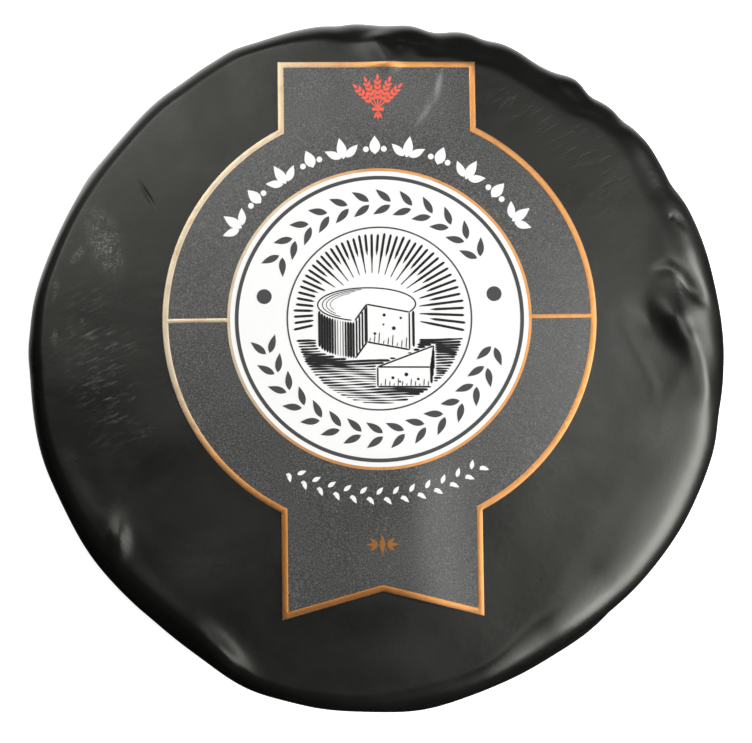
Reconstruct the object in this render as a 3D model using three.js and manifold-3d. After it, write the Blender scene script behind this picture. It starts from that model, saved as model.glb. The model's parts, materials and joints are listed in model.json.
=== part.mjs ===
// A truckle of mature cheddar dipped in black wax, with a die-cut rosette label on its top face.
// Millimetres, +Z up. The origin is on the surface that the truckle stands on, below the middle of
// its outline. +Y points to the top of the label and +X to its right.

import * as THREE from "three";
import { mergeVertices } from "three/addons/utils/BufferGeometryUtils.js";
import Module from "manifold-3d";

const wasm = await Module();
wasm.setup();

// The truckle's driving dimensions
const rimRadius = 88.6; // where the top edge has turned into the wall
const truckleHeight = 78;
const wallBulge = 1.2; // how far the belly of the wall stands out past the rim
const baseRounding = 10; // radius of the edge that it stands on
const crown = 0.7; // how far the middle of the top face stands above its edge

// The top edge is sharp at the back and left, and slumps into a soft shoulder at the front right.
const shoulders = [
  { toward: 0, width: 12.5, drop: 12 },
  { toward: 8, width: 13.5, drop: 13 },
  { toward: 20, width: 12, drop: 12 },
  { toward: 34, width: 10, drop: 9 },
  { toward: 44, width: 8.5, drop: 8 },
  { toward: 60, width: 10, drop: 8 },
  { toward: 80, width: 9.5, drop: 7.5 },
  { toward: 96, width: 7, drop: 7 },
  { toward: 112, width: 4.4, drop: 5.6 },
  { toward: 150, width: 4.2, drop: 6.2 },
  { toward: 166, width: 4.2, drop: 6.5 },
  { toward: 180, width: 4.9, drop: 7.5 },
  { toward: 190, width: 4.7, drop: 8 },
  { toward: 205, width: 4.8, drop: 9 },
  { toward: 214, width: 6, drop: 11 },
  { toward: 224, width: 6.3, drop: 12 },
  { toward: 236, width: 6, drop: 11.5 },
  { toward: 250, width: 3.4, drop: 6 },
  { toward: 264, width: 4.4, drop: 5.5 },
  { toward: 276, width: 5.5, drop: 6 },
  { toward: 288, width: 6.2, drop: 6.3 },
  { toward: 302, width: 11, drop: 8.5 },
  { toward: 316, width: 18.5, drop: 10.5 },
  { toward: 332, width: 20.5, drop: 11 },
  { toward: 348, width: 16, drop: 10.5 },
];

// Where the rim is pressed flat, swells, or ends in a small corner: degrees and millimetres
const rimSwells = [
  { toward: 301, spread: 19, out: -2.8 },
  { toward: 264, spread: 14, out: 0.4 },
  { toward: 231, spread: 13, out: -1.8 },
  { toward: 207, spread: 6, out: -0.4 },
  { toward: 188, spread: 8, out: 0.4 },
  { toward: 171, spread: 8, out: 0.9 },
  { toward: 141, spread: 12, out: -0.9 },
  { toward: 125, spread: 4, out: -0.4 },
  { toward: 115, spread: 3, out: 0.5 },
  { toward: 105, spread: 6, out: 0.3 },
  { toward: 97, spread: 2, out: -0.4 },
  { toward: 89, spread: 4, out: -1.1 },
  { toward: 80.5, spread: 3, out: -1.2 },
  { toward: 71, spread: 5, out: 0.4 },
  { toward: 55.5, spread: 2.5, out: 0.9 },
  { toward: 45, spread: 5, out: 1 },
  { toward: 39, spread: 3, out: 0.6 },
  { toward: 20, spread: 14, out: 0.7 },
  { toward: 3, spread: 5, out: 0.2 },
  { toward: 31.5, spread: 2.5, out: -0.65 },
  { toward: 45, spread: 2, out: -0.7 },
  { toward: 51.7, spread: 1.8, out: -0.55 },
  { toward: 60, spread: 3, out: -0.5 },
  { toward: 63, spread: 2.5, out: -0.4 },
  { toward: 72, spread: 2.2, out: -0.6 },
  { toward: 82, spread: 4, out: -0.4 },
  { toward: 178.5, spread: 3, out: 0.35 },
  { toward: 196, spread: 6, out: 0.3 },
  { toward: 214, spread: 14, out: 0.3 },
  { toward: 239, spread: 6, out: 0.3 },
  { toward: 278, spread: 5, out: -0.45 },
  { toward: 322, spread: 9, out: -0.45 },
  { toward: 337, spread: 8, out: -0.7 },
  { toward: 351, spread: 4, out: -0.65 },
];

// Lumps and hollows that fingers and racks left in the soft wax: centre, half sizes along and
// across, direction of the long one in degrees, and how far it rises (or sinks, if negative).
// The lip is on the wall: down is how far below the face it is, and reach its half height.
const pressMarks = [
  { name: "right ridge", x: 75.4, y: 10, long: 6, short: 3.8, turn: -62, rise: 1.9 },
  { name: "right hollow", x: 69, y: 9.8, long: 5, short: 3.5, turn: -51, rise: -0.5 },
  { name: "right dimple", x: 78.6, y: 18.6, long: 4.2, short: 2.4, turn: -52, rise: -1.3 },
  { name: "right crest", x: 80.4, y: -2.5, long: 10, short: 2.4, turn: -74, rise: 0.8 },
  { name: "right roll", x: 82.6, y: -9, long: 15, short: 8, turn: -84, rise: 1.15 },
  { name: "upper right roll", x: 77.2, y: 28, long: 12, short: 6.4, turn: 82, rise: 0.85 },
  { name: "front right slack", x: 43.5, y: -43.5, long: 24, short: 9, turn: 45, rise: -0.22 },
  { name: "back right pinch", x: 48.2, y: 68.4, long: 7, short: 3.6, turn: -38, rise: -1.5 },
  { name: "back right dent", x: 56.2, y: 64.6, long: 4.5, short: 2.4, turn: -45, rise: -0.7 },
  { name: "back slack", x: 36.2, y: 76.2, long: 13, short: 4, turn: -22, rise: -0.8 },
  { name: "back dip", x: 20, y: 81, long: 13, short: 3.6, turn: -8, rise: -0.9 },
  { name: "small back dip", x: 9.2, y: 82.2, long: 5.6, short: 3.2, turn: -6, rise: -0.7 },
  { name: "back dent", x: -6.5, y: 84.5, long: 5, short: 3.6, turn: 12, rise: -0.6 },
  { name: "back fold", x: 1.3, y: 79.5, long: 6.5, short: 3.2, turn: -64, rise: 0.85 },
  { name: "left lump", x: -65.4, y: -45.9, long: 5.2, short: 2.4, turn: -86, rise: 1.3 },
  { name: "front left lump", x: -39, y: -74.8, long: 9, short: 3, turn: -50, rise: 1.6 },
  { name: "back left lip", x: -73.5, y: 47.5, long: 13, short: 9, turn: 57, rise: 1.6, down: 14, reach: 6 },
];
const markReach = 9; // how far down the wall a press mark still shows
const swellReach = 4; // how far down it a swell still shows, for each degree of its spread

// Slow waves round the wall: how many to a turn, how high, and where they start
const wallWaves = [
  { count: 7, height: 0.35, start: 0.4, lean: 0.03 },
  { count: 13, height: 0.22, start: 2.1, lean: -0.05 },
  { count: 23, height: 0.14, start: 4.4, lean: 0.08 },
];

// The label, measured from the middle of its ring
const labelCentre = { x: 0.15, y: 10.15 };
const labelTurn = 0.75; // degrees, as it was put on
const labelRingRadius = 55;
const tabHalfWidth = 25.3;
const tabTop = 66.36;
const tabSlant = 0.27; // how far its left corner is above the middle, and its right one below
const tailBottom = 75.6;
const tailSlant = 0.22; // how much longer its left point is, and how much shorter its right one
const tailNotch = 68.9;
const foilWidth = 1.55;
const crossbarWidth = 1.05;
const copperRingRadius = 38.15;
const copperRingWidth = 0.75;
const darkRingRadius = 36.1;
const darkRingWidth = 0.95;
const pictureRadius = 23.3;
const pictureRuleWidth = 0.4;
const bulletRadius = 1.9;
const bulletCentre = { x: 29.1, y: 5.9 };
const labelThickness = 0.25;
const printThickness = 0.1;
const layerGap = 0.1; // air left between one layer and the next

// How finely the shapes are faceted
const rimFacets = 144;
const ringSteps = [0.25, 0.5, 0.7, 0.82, 0.89, 0.95, 1];
const ringFacets = [18, 36, 36, 72, 144, 144, 144];
const shoulderSteps = 6;
const wallSteps = 5;
const baseSteps = 3;
const soleFacets = [72, 36, 18];
const ringSegments = 27;
const bulletSegments = 9;

const radians = THREE.MathUtils.degToRad;

// A smooth bump that is 1 in the middle and fades out at about twice its half size
function bump(distanceSquared) {
  return Math.exp(-distanceSquared);
}

// The smallest turn from one heading to another, in degrees
function headingGap(from, to) {
  return ((((to - from + 180) % 360) + 360) % 360) - 180;
}

// The wall's radius toward a heading, at its top or further down
function rimRadiusToward(heading, down = 0) {
  return rimSwells.reduce((radius, swell) => {
    const aside = headingGap(swell.toward, heading) / swell.spread;
    return radius + swell.out * bump(aside ** 2 + (down / (swellReach * swell.spread)) ** 2);
  }, rimRadius);
}

// The shoulder's width and drop toward a heading, eased between the two nearest entries
function shoulderToward(heading) {
  const turn = ((heading % 360) + 360) % 360;
  const next = shoulders.findIndex((s) => s.toward > turn);
  const after = next < 0 ? { ...shoulders[0], toward: 360 } : shoulders[next];
  const before = shoulders[next < 0 ? shoulders.length - 1 : next - 1];
  const share = THREE.MathUtils.smoothstep(turn, before.toward, after.toward);
  return {
    width: THREE.MathUtils.lerp(before.width, after.width, share),
    drop: THREE.MathUtils.lerp(before.drop, after.drop, share),
  };
}

// How far the wax rises off its plain form at a point
function relief(x, y, z) {
  const depth = Math.max(0, truckleHeight - z);
  return pressMarks.reduce((sum, mark) => {
    const below = (depth - (mark.down ?? 0)) / (mark.reach ?? markReach);
    const turn = radians(mark.turn);
    const along = (x - mark.x) * Math.cos(turn) + (y - mark.y) * Math.sin(turn);
    const across = (y - mark.y) * Math.cos(turn) - (x - mark.x) * Math.sin(turn);
    return sum + mark.rise * bump((along / mark.long) ** 2 + (across / mark.short) ** 2 + below ** 2);
  }, 0);
}

// The plain top face is a very shallow dome.
function plainFaceHeight(x, y) {
  return truckleHeight - crown * ((x * x + y * y) / rimRadius ** 2);
}

function faceHeight(x, y) {
  return plainFaceHeight(x, y) + relief(x, y, truckleHeight);
}

function wallWave(heading, height) {
  const fade = Math.sin(Math.PI * THREE.MathUtils.clamp(height / truckleHeight, 0, 1));
  return wallWaves.reduce(
    (sum, wave) =>
      sum + fade * wave.height * Math.cos(wave.count * radians(heading) + wave.start + wave.lean * height),
    0,
  );
}

// One point of the skin. A zone is the face, the shoulder, the wall or the base edge, and share
// runs from 0 to 1 outwards or downwards through it.
function skinPoint(heading, zone, share) {
  const rim = rimRadiusToward(heading);
  const { width, drop } = shoulderToward(heading);
  const direction = new THREE.Vector2(Math.cos(radians(heading)), Math.sin(radians(heading)));
  const flat = rim - width;
  const flatHeight = plainFaceHeight(flat, 0);
  const shoulderFoot = flatHeight - drop;
  const wall = shoulderFoot - baseRounding;
  let out, up, outward, upward;
  if (zone === "face") {
    out = flat * share;
    up = plainFaceHeight(out, 0);
    outward = 0;
    upward = 1;
  } else if (zone === "shoulder") {
    const angle = (share * Math.PI) / 2;
    out = flat + width * Math.sin(angle);
    up = shoulderFoot + drop * Math.cos(angle);
    outward = Math.sin(angle) / width;
    upward = Math.cos(angle) / drop;
  } else if (zone === "wall") {
    out = rimRadiusToward(heading, wall * share) + wallBulge * (Math.sin(Math.PI * share) ** 2 - share / 2);
    up = shoulderFoot - wall * share;
    outward = 1;
    upward = 0;
  } else {
    const angle = (share * Math.PI) / 2;
    out = rimRadiusToward(heading, wall) - wallBulge / 2 - baseRounding * (1 - Math.cos(angle));
    up = baseRounding * (1 - Math.sin(angle));
    outward = Math.cos(angle);
    upward = 0;
  }
  const length = Math.hypot(outward, upward) || 1;
  const rise = relief(out * direction.x, out * direction.y, up);
  out += ((rise + (outward > 0 ? wallWave(heading, up) : 0)) * outward) / length;
  up += (rise * upward) / length;
  return new THREE.Vector3(out * direction.x, out * direction.y, up);
}

function ring(facets, zone, share) {
  return Array.from({ length: facets }, (_, i) => skinPoint((i * 360) / facets, zone, share));
}

// Joins two rings of points with triangles. The second may have as many points as the first,
// twice as many or half as many.
function joinRings(triangles, first, second) {
  const [a, na] = first;
  const [b, nb] = second;
  const few = Math.min(na, nb);
  for (let i = 0; i < few; i++) {
    const j = (i + 1) % few;
    if (na === nb) triangles.push(a + i, b + i, b + j, a + i, b + j, a + j);
    else if (nb === 2 * na) {
      const mid = b + 2 * i + 1;
      triangles.push(a + i, b + 2 * i, mid, a + i, mid, a + j, a + j, mid, b + 2 * j);
    } else {
      const mid = a + 2 * i + 1;
      triangles.push(a + 2 * i, b + i, mid, mid, b + i, b + j, mid, b + j, a + 2 * j);
    }
  }
}

// A closed skin from a pole, through rings of points, to the other pole
function closedSkin(pole, rings, otherPole) {
  const points = [pole, ...rings.flat(), otherPole];
  const triangles = [];
  const starts = [];
  let start = 1;
  for (const r of rings) {
    starts.push([start, r.length]);
    start += r.length;
  }
  const [firstStart, firstCount] = starts[0];
  for (let i = 0; i < firstCount; i++)
    triangles.push(0, firstStart + i, firstStart + ((i + 1) % firstCount));
  for (let i = 1; i < starts.length; i++) joinRings(triangles, starts[i - 1], starts[i]);
  const [lastStart, lastCount] = starts.at(-1);
  for (let i = 0; i < lastCount; i++)
    triangles.push(lastStart + i, start, lastStart + ((i + 1) % lastCount));
  const geometry = new THREE.BufferGeometry().setFromPoints(points);
  geometry.setIndex(triangles);
  return geometry;
}

function truckleGeometry() {
  const rings = ringSteps.map((share, i) => ring(ringFacets[i], "face", share));
  for (let i = 1; i <= shoulderSteps; i++) rings.push(ring(rimFacets, "shoulder", i / shoulderSteps));
  for (let i = 1; i <= wallSteps; i++) rings.push(ring(rimFacets, "wall", i / wallSteps));
  for (let i = 1; i <= baseSteps; i++) rings.push(ring(rimFacets, "base", i / baseSteps));
  const sole = rings.at(-1);
  soleFacets.forEach((facets, i) => {
    const every = rimFacets / facets;
    const share = 1 - (i + 1) / (soleFacets.length + 1);
    rings.push(
      sole.filter((_, j) => j % every === 0).map((p) => new THREE.Vector3(p.x * share, p.y * share, 0)),
    );
  });
  return closedSkin(new THREE.Vector3(0, 0, faceHeight(0, 0)), rings, new THREE.Vector3(0, 0, 0));
}

function solidFrom(geometry) {
  const bare = geometry.index ? geometry.toNonIndexed() : geometry.clone();
  bare.deleteAttribute("normal");
  bare.deleteAttribute("uv");
  const merged = mergeVertices(bare, 1e-4);
  return new wasm.Manifold(
    new wasm.Mesh({
      numProp: 3,
      vertProperties: merged.attributes.position.array,
      triVerts: new Uint32Array(merged.index.array),
    }),
  );
}

function geometryFrom(solid) {
  const mesh = solid.getMesh();
  return new THREE.BufferGeometry()
    .setAttribute("position", new THREE.BufferAttribute(mesh.vertProperties, 3))
    .setIndex(new THREE.BufferAttribute(mesh.triVerts, 1));
}

// The label's outline, moved in by a margin. Its ring opens into a tab above and a swallow-tailed
// ribbon below.
function labelOutline(margin) {
  const radius = labelRingRadius - margin;
  const half = tabHalfWidth - margin;
  const meet = Math.acos(half / radius);
  const slope = (tailBottom - tailNotch) / tabHalfWidth;
  const notch = -tailNotch + margin * Math.hypot(1, slope);
  const outline = new THREE.Shape();
  outline.absarc(0, 0, radius, -meet, meet, false);
  outline.lineTo(half, tabTop - margin - tabSlant);
  outline.lineTo(-half, tabTop - margin + tabSlant);
  outline.absarc(0, 0, radius, Math.PI - meet, Math.PI + meet, false);
  outline.lineTo(-half, notch - slope * half - tailSlant);
  outline.lineTo(0, notch);
  outline.lineTo(half, notch - slope * half + tailSlant);
  outline.closePath();
  return outline;
}

function disc(radius, x = 0, y = 0) {
  return new THREE.Shape().absarc(x, y, radius, 0, 2 * Math.PI, false);
}

function bar(left, right, width) {
  return new THREE.Shape([
    new THREE.Vector2(left, -width / 2),
    new THREE.Vector2(right, -width / 2),
    new THREE.Vector2(right, width / 2),
    new THREE.Vector2(left, width / 2),
  ]);
}

// A tall upright prism over a flat shape of the label, placed and turned as the label is
function punch(shape, curveSegments = ringSegments) {
  const height = 20;
  const geometry = new THREE.ExtrudeGeometry(shape, {
    depth: height,
    bevelEnabled: false,
    curveSegments,
  });
  geometry.translate(0, 0, truckleHeight - height / 2);
  geometry.applyMatrix4(
    new THREE.Matrix4()
      .makeRotationZ(radians(labelTurn))
      .setPosition(labelCentre.x, labelCentre.y, 0),
  );
  return solidFrom(geometry);
}

// A thin layer on the top face, cut to a punch. It follows every facet of the wax below it.
function drape(cutter, lift, thickness) {
  const over = truckleSolid.translate([0, 0, lift + thickness]);
  const under = truckleSolid.translate([0, 0, lift]);
  return geometryFrom(over.intersect(cutter).subtract(under));
}

function piece(name, geometry, colour, roughness, metalness = 0) {
  const material = new THREE.MeshStandardMaterial({ color: colour, roughness, metalness });
  const mesh = new THREE.Mesh(geometry, material);
  mesh.name = name;
  return mesh;
}

function band(radius, width) {
  return punch(disc(radius + width / 2)).subtract(punch(disc(radius - width / 2)));
}

// The copper foil: the label's border and the two bars that cross its ring
function foilPunch() {
  const border = punch(labelOutline(0)).subtract(punch(labelOutline(foilWidth)));
  const reach = labelRingRadius - foilWidth / 2;
  const start = copperRingRadius + copperRingWidth / 2 + layerGap;
  return border.add(punch(bar(-reach, -start, crossbarWidth))).add(punch(bar(start, reach, crossbarWidth)));
}

const truckleSolid = solidFrom(truckleGeometry());

const black = 0x1c1d1b;
const slate = 0x3a3b3a;
const white = 0xf3f2ee;
const copper = 0xc98a4b;
const printLift = layerGap + labelThickness + layerGap;
const secondPrintLift = printLift + printThickness + layerGap;

function labelPieces() {
  const bullet = (side) => punch(disc(bulletRadius, side * bulletCentre.x, bulletCentre.y), bulletSegments);
  const first = (cutter) => drape(cutter, printLift, printThickness);
  const second = (cutter) => drape(cutter, secondPrintLift, printThickness);
  return [
    piece("label_sheet", drape(punch(labelOutline(0)), layerGap, labelThickness), slate, 0.6),
    piece("copper_border", first(foilPunch()), copper, 0.35, 0.9),
    piece("copper_ring", first(band(copperRingRadius, copperRingWidth)), copper, 0.35, 0.9),
    piece("white_roundel", first(punch(disc(copperRingRadius - copperRingWidth / 2 - layerGap))), white, 0.55),
    piece("dark_ring", second(band(darkRingRadius, darkRingWidth)), slate, 0.6),
    piece("picture_rule", second(band(pictureRadius, pictureRuleWidth)), slate, 0.6),
    piece("left_bullet", second(bullet(-1)), slate, 0.6),
    piece("right_bullet", second(bullet(1)), slate, 0.6),
  ];
}

const part = new THREE.Group();
const truckle = piece("waxed_truckle", geometryFrom(truckleSolid), black, 0.4);
part.add(truckle, ...labelPieces());

// The origin goes below the middle of the outline.
const middle = new THREE.Box3().setFromObject(truckle).getCenter(new THREE.Vector3());
part.position.set(-middle.x, -middle.y, 0);

export default part;
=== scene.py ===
"""Looks of a black-waxed truckle of mature cheddar with a rosette label on its top face."""

import json
import logging
import math
from contextlib import contextmanager
from dataclasses import dataclass, field
from enum import Enum
from functools import partial, reduce
from itertools import chain
from typing import Callable, Iterable, Iterator

import bmesh
import bpy
from bpy.types import Material, Node, NodeSocket, NodeTree, Object
from mathutils import Matrix, Vector, noise

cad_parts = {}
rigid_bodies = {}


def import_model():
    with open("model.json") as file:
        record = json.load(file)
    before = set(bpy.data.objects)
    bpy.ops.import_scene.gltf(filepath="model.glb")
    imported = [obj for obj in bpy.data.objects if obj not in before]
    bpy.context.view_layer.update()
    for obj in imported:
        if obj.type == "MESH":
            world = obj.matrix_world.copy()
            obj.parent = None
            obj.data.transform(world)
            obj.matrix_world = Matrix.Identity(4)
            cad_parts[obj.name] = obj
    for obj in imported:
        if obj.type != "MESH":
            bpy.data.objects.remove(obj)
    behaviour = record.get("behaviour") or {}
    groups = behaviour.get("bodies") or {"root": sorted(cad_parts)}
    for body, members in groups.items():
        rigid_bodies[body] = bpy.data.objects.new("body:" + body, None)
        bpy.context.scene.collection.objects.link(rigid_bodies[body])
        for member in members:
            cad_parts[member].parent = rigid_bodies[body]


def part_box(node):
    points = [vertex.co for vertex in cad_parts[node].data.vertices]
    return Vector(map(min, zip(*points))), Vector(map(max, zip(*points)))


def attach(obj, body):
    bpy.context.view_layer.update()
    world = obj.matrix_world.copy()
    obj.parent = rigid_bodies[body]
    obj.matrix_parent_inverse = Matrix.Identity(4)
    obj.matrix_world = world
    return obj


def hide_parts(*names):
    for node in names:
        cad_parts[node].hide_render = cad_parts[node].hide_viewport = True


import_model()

LOG = logging.getLogger("truckle")
MM = 0.001
ROOT = "root"
WELD = 0.002 * MM
Point = tuple[float, float]
Loop = list[Point]
Colour = tuple[float, float, float]


# Working by hand in edit mode


class Pick(Enum):
    """What a selection in edit mode is made of."""

    VERTICES = "VERT"
    EDGES = "EDGE"
    FACES = "FACE"


class Combine(Enum):
    """What a solid does to the one that is kept."""

    JOIN = "UNION"
    CUT = "DIFFERENCE"


def deselect_all() -> None:
    """Leave nothing selected, so that the next operator acts on new work alone."""
    for obj in bpy.context.view_layer.objects:
        obj.select_set(False)


def take(obj: Object) -> None:
    """Select one object alone and make it active.

    Args:
        obj: The object to work on.
    """
    deselect_all()
    obj.select_set(True)
    bpy.context.view_layer.objects.active = obj


def select_all() -> None:
    """Select the whole of the object being edited."""
    bpy.ops.mesh.select_all(action="SELECT")


@contextmanager
def editing(obj: Object) -> Iterator[None]:
    """Work on an object in edit mode, with nothing selected in it at first.

    Args:
        obj: The mesh object to edit.

    Returns:
        A context that ends in object mode.
    """
    take(obj)
    bpy.ops.object.mode_set(mode="EDIT")
    bpy.ops.mesh.select_all(action="DESELECT")
    yield
    bpy.ops.object.mode_set(mode="OBJECT")


def select_where(pick: Pick, test: Callable[[list[Vector]], bool]) -> None:
    """Select the elements whose corners pass a test, in the object being edited.

    Args:
        pick: Whether vertices, edges or faces are selected.
        test: Takes the corners of an element, in metres.
    """
    bpy.ops.mesh.select_all(action="DESELECT")
    bpy.ops.mesh.select_mode(type=pick.value)
    mesh = bpy.context.edit_object.data
    work = bmesh.from_edit_mesh(mesh)
    elements = {Pick.VERTICES: work.verts, Pick.EDGES: work.edges, Pick.FACES: work.faces}[pick]
    for element in elements:
        if test([element.co] if pick is Pick.VERTICES else [v.co for v in element.verts]):
            element.select_set(True)
    work.select_flush_mode()
    bmesh.update_edit_mesh(mesh)


def round_edges(width: float, rows: int) -> None:
    """Round the selected edges by a width in millimetres."""
    bpy.ops.mesh.bevel(offset=width * MM, segments=rows, affect="EDGES", clamp_overlap=False)


def named(obj: Object, name: str) -> Object:
    """Name an object and its data."""
    obj.name = obj.data.name = name
    return obj


def settle(obj: Object) -> None:
    """Put an object's location, rotation and scale into its mesh."""
    take(obj)
    bpy.ops.object.transform_apply(location=True, rotation=True, scale=True)


def drum(radius: float, height: float, sides: int) -> Object:
    """Make a round solid that stands on the ground.

    Args:
        radius: Its radius, in millimetres.
        height: Its height.
        sides: How many sides it has.

    Returns:
        The solid, in metres.
    """
    deselect_all()
    bpy.ops.mesh.primitive_cylinder_add(
        vertices=sides,
        radius=radius * MM,
        depth=height * MM,
        end_fill_type="NGON",
        location=(0, 0, height / 2 * MM),
    )
    obj = bpy.context.object
    settle(obj)
    return obj


def combine(obj: Object, other: Object, how: Combine) -> None:
    """Shape a closed solid by another one, which is used up.

    Args:
        obj: The solid that is kept.
        other: The solid that shapes it.
        how: Whether it is joined on or cut away.
    """
    modifier = obj.modifiers.new("shape", "BOOLEAN")
    modifier.operation = how.value
    modifier.solver = "MANIFOLD"
    modifier.object = other
    take(obj)
    bpy.ops.object.modifier_apply(modifier=modifier.name)
    bpy.data.objects.remove(other, do_unlink=True)


def cut_into_cells(obj: Object, cell: float) -> None:
    """Cut a flat piece by upright planes, so that it can follow a curved face.

    Args:
        obj: The flat piece, in metres.
        cell: The distance between cuts, in millimetres.
    """
    corners = [Vector(c) for c in obj.bound_box]
    with editing(obj):
        for axis in (0, 1):
            low = min(c[axis] for c in corners) / MM
            high = max(c[axis] for c in corners) / MM
            normal = [float(i == axis) for i in range(3)]
            place = math.floor(low / cell + 1) * cell
            while place < high - 0.05:
                select_all()
                bpy.ops.mesh.bisect(plane_co=[place * MM * along for along in normal], plane_no=normal)
                place += cell


def polar(radius: float, degrees: float) -> Point:
    """A point at a radius and a heading from the middle."""
    return radius * math.cos(math.radians(degrees)), radius * math.sin(math.radians(degrees))


def around(centre: Point, radius: float, degrees: float, squash: float = 1.0) -> Point:
    """A point at a radius and a heading from a centre, on a circle or a flattened one."""
    x, y = polar(radius, degrees)
    return centre[0] + x, centre[1] + y * squash


def between(a: Point, b: Point, share: float) -> Point:
    """The point at a share of the way from one point to another."""
    return a[0] + (b[0] - a[0]) * share, a[1] + (b[1] - a[1]) * share


def below(point: Point, drop: float) -> Point:
    """The point straight below another one."""
    return point[0], point[1] - drop


def spaced(start: float, end: float, count: int) -> list[float]:
    """Evenly spaced values from start to end."""
    return [start + (end - start) * i / (count - 1) for i in range(count)]


def placed(loop: Loop, at: Point, turn: float) -> Loop:
    """Turn and move an outline.

    Args:
        loop: The outline about its own origin.
        at: Where its origin goes.
        turn: How far it is turned, in degrees.

    Returns:
        The placed outline.
    """
    c, s = polar(1.0, turn)
    return [(at[0] + x * c - y * s, at[1] + x * s + y * c) for x, y in loop]


def smoothstep(value: float, low: float, high: float) -> float:
    """Ease from 0 at low to 1 at high."""
    t = min(1.0, max(0.0, (value - low) / (high - low)))
    return t * t * (3 - 2 * t)


# The waxed cheese


@dataclass(frozen=True)
class Shoulder:
    """How the top edge is rounded toward one heading, in degrees and millimetres."""

    toward: float
    width: float
    drop: float


@dataclass(frozen=True)
class Swell:
    """A flat, swell or corner of the rim, in degrees and millimetres."""

    toward: float
    spread: float
    out: float

    def at(self, heading: float, down: float = 0.0) -> float:
        """How far this swell moves the wall toward a heading, at its top or further down it."""
        gap = (heading - self.toward + 180) % 360 - 180
        return self.out * math.exp(-((gap / self.spread) ** 2) - (down / (4 * self.spread)) ** 2)


@dataclass(frozen=True)
class PressMark:
    """A lump or hollow in the wax: centre, half sizes, direction, rise and reach down the wall."""

    x: float
    y: float
    long: float
    short: float
    turn: float
    rise: float
    reach: float = 9.0
    down: float = 0.0

    def at(self, x: float, y: float, depth: float) -> float:
        """How far this mark raises the wax at a point.

        Args:
            x: The point's place across.
            y: The point's place along.
            depth: How far it is below the face.

        Returns:
            The rise in millimetres.
        """
        dx, dy = x - self.x, y - self.y
        if dx * dx + dy * dy > 9 * max(self.long, self.short) ** 2:
            return 0.0
        turn = math.radians(self.turn)
        along = (dx * math.cos(turn) + dy * math.sin(turn)) / self.long
        across = (dy * math.cos(turn) - dx * math.sin(turn)) / self.short
        return self.rise * math.exp(-(along**2) - across**2 - ((depth - self.down) / self.reach) ** 2)


@dataclass(frozen=True)
class Fold:
    """A ridge or a groove along a bent line in the wax, in millimetres."""

    path: Loop
    half_width: float
    rise: float
    reach: float = 9.0
    open_end: bool = False
    fade_in: Point = (-0.02, 0.25)
    fade_out: Point = (1.02, 0.7)

    def at(self, x: float, y: float, depth: float) -> float:
        """How far this fold raises the wax at a point.

        Args:
            x: The point's place across.
            y: The point's place along.
            depth: How far it is below the face.

        Returns:
            The rise in millimetres.
        """
        nearest, share = 3 * self.half_width, 0.0
        for i, (a, b) in enumerate(zip(self.path, self.path[1:])):
            run = (b[0] - a[0], b[1] - a[1])
            length = run[0] ** 2 + run[1] ** 2
            t = min(1.0, max(0.0, ((x - a[0]) * run[0] + (y - a[1]) * run[1]) / length))
            gap = math.hypot(x - a[0] - t * run[0], y - a[1] - t * run[1])
            if gap < nearest:
                nearest, share = gap, (i + t) / (len(self.path) - 1)
        if nearest >= 3 * self.half_width:
            return 0.0
        fade = smoothstep(share, *self.fade_in)
        if not self.open_end:
            fade *= smoothstep(share, *self.fade_out)
        return self.rise * fade * math.exp(-((nearest / self.half_width) ** 2) - (depth / self.reach) ** 2)


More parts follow.
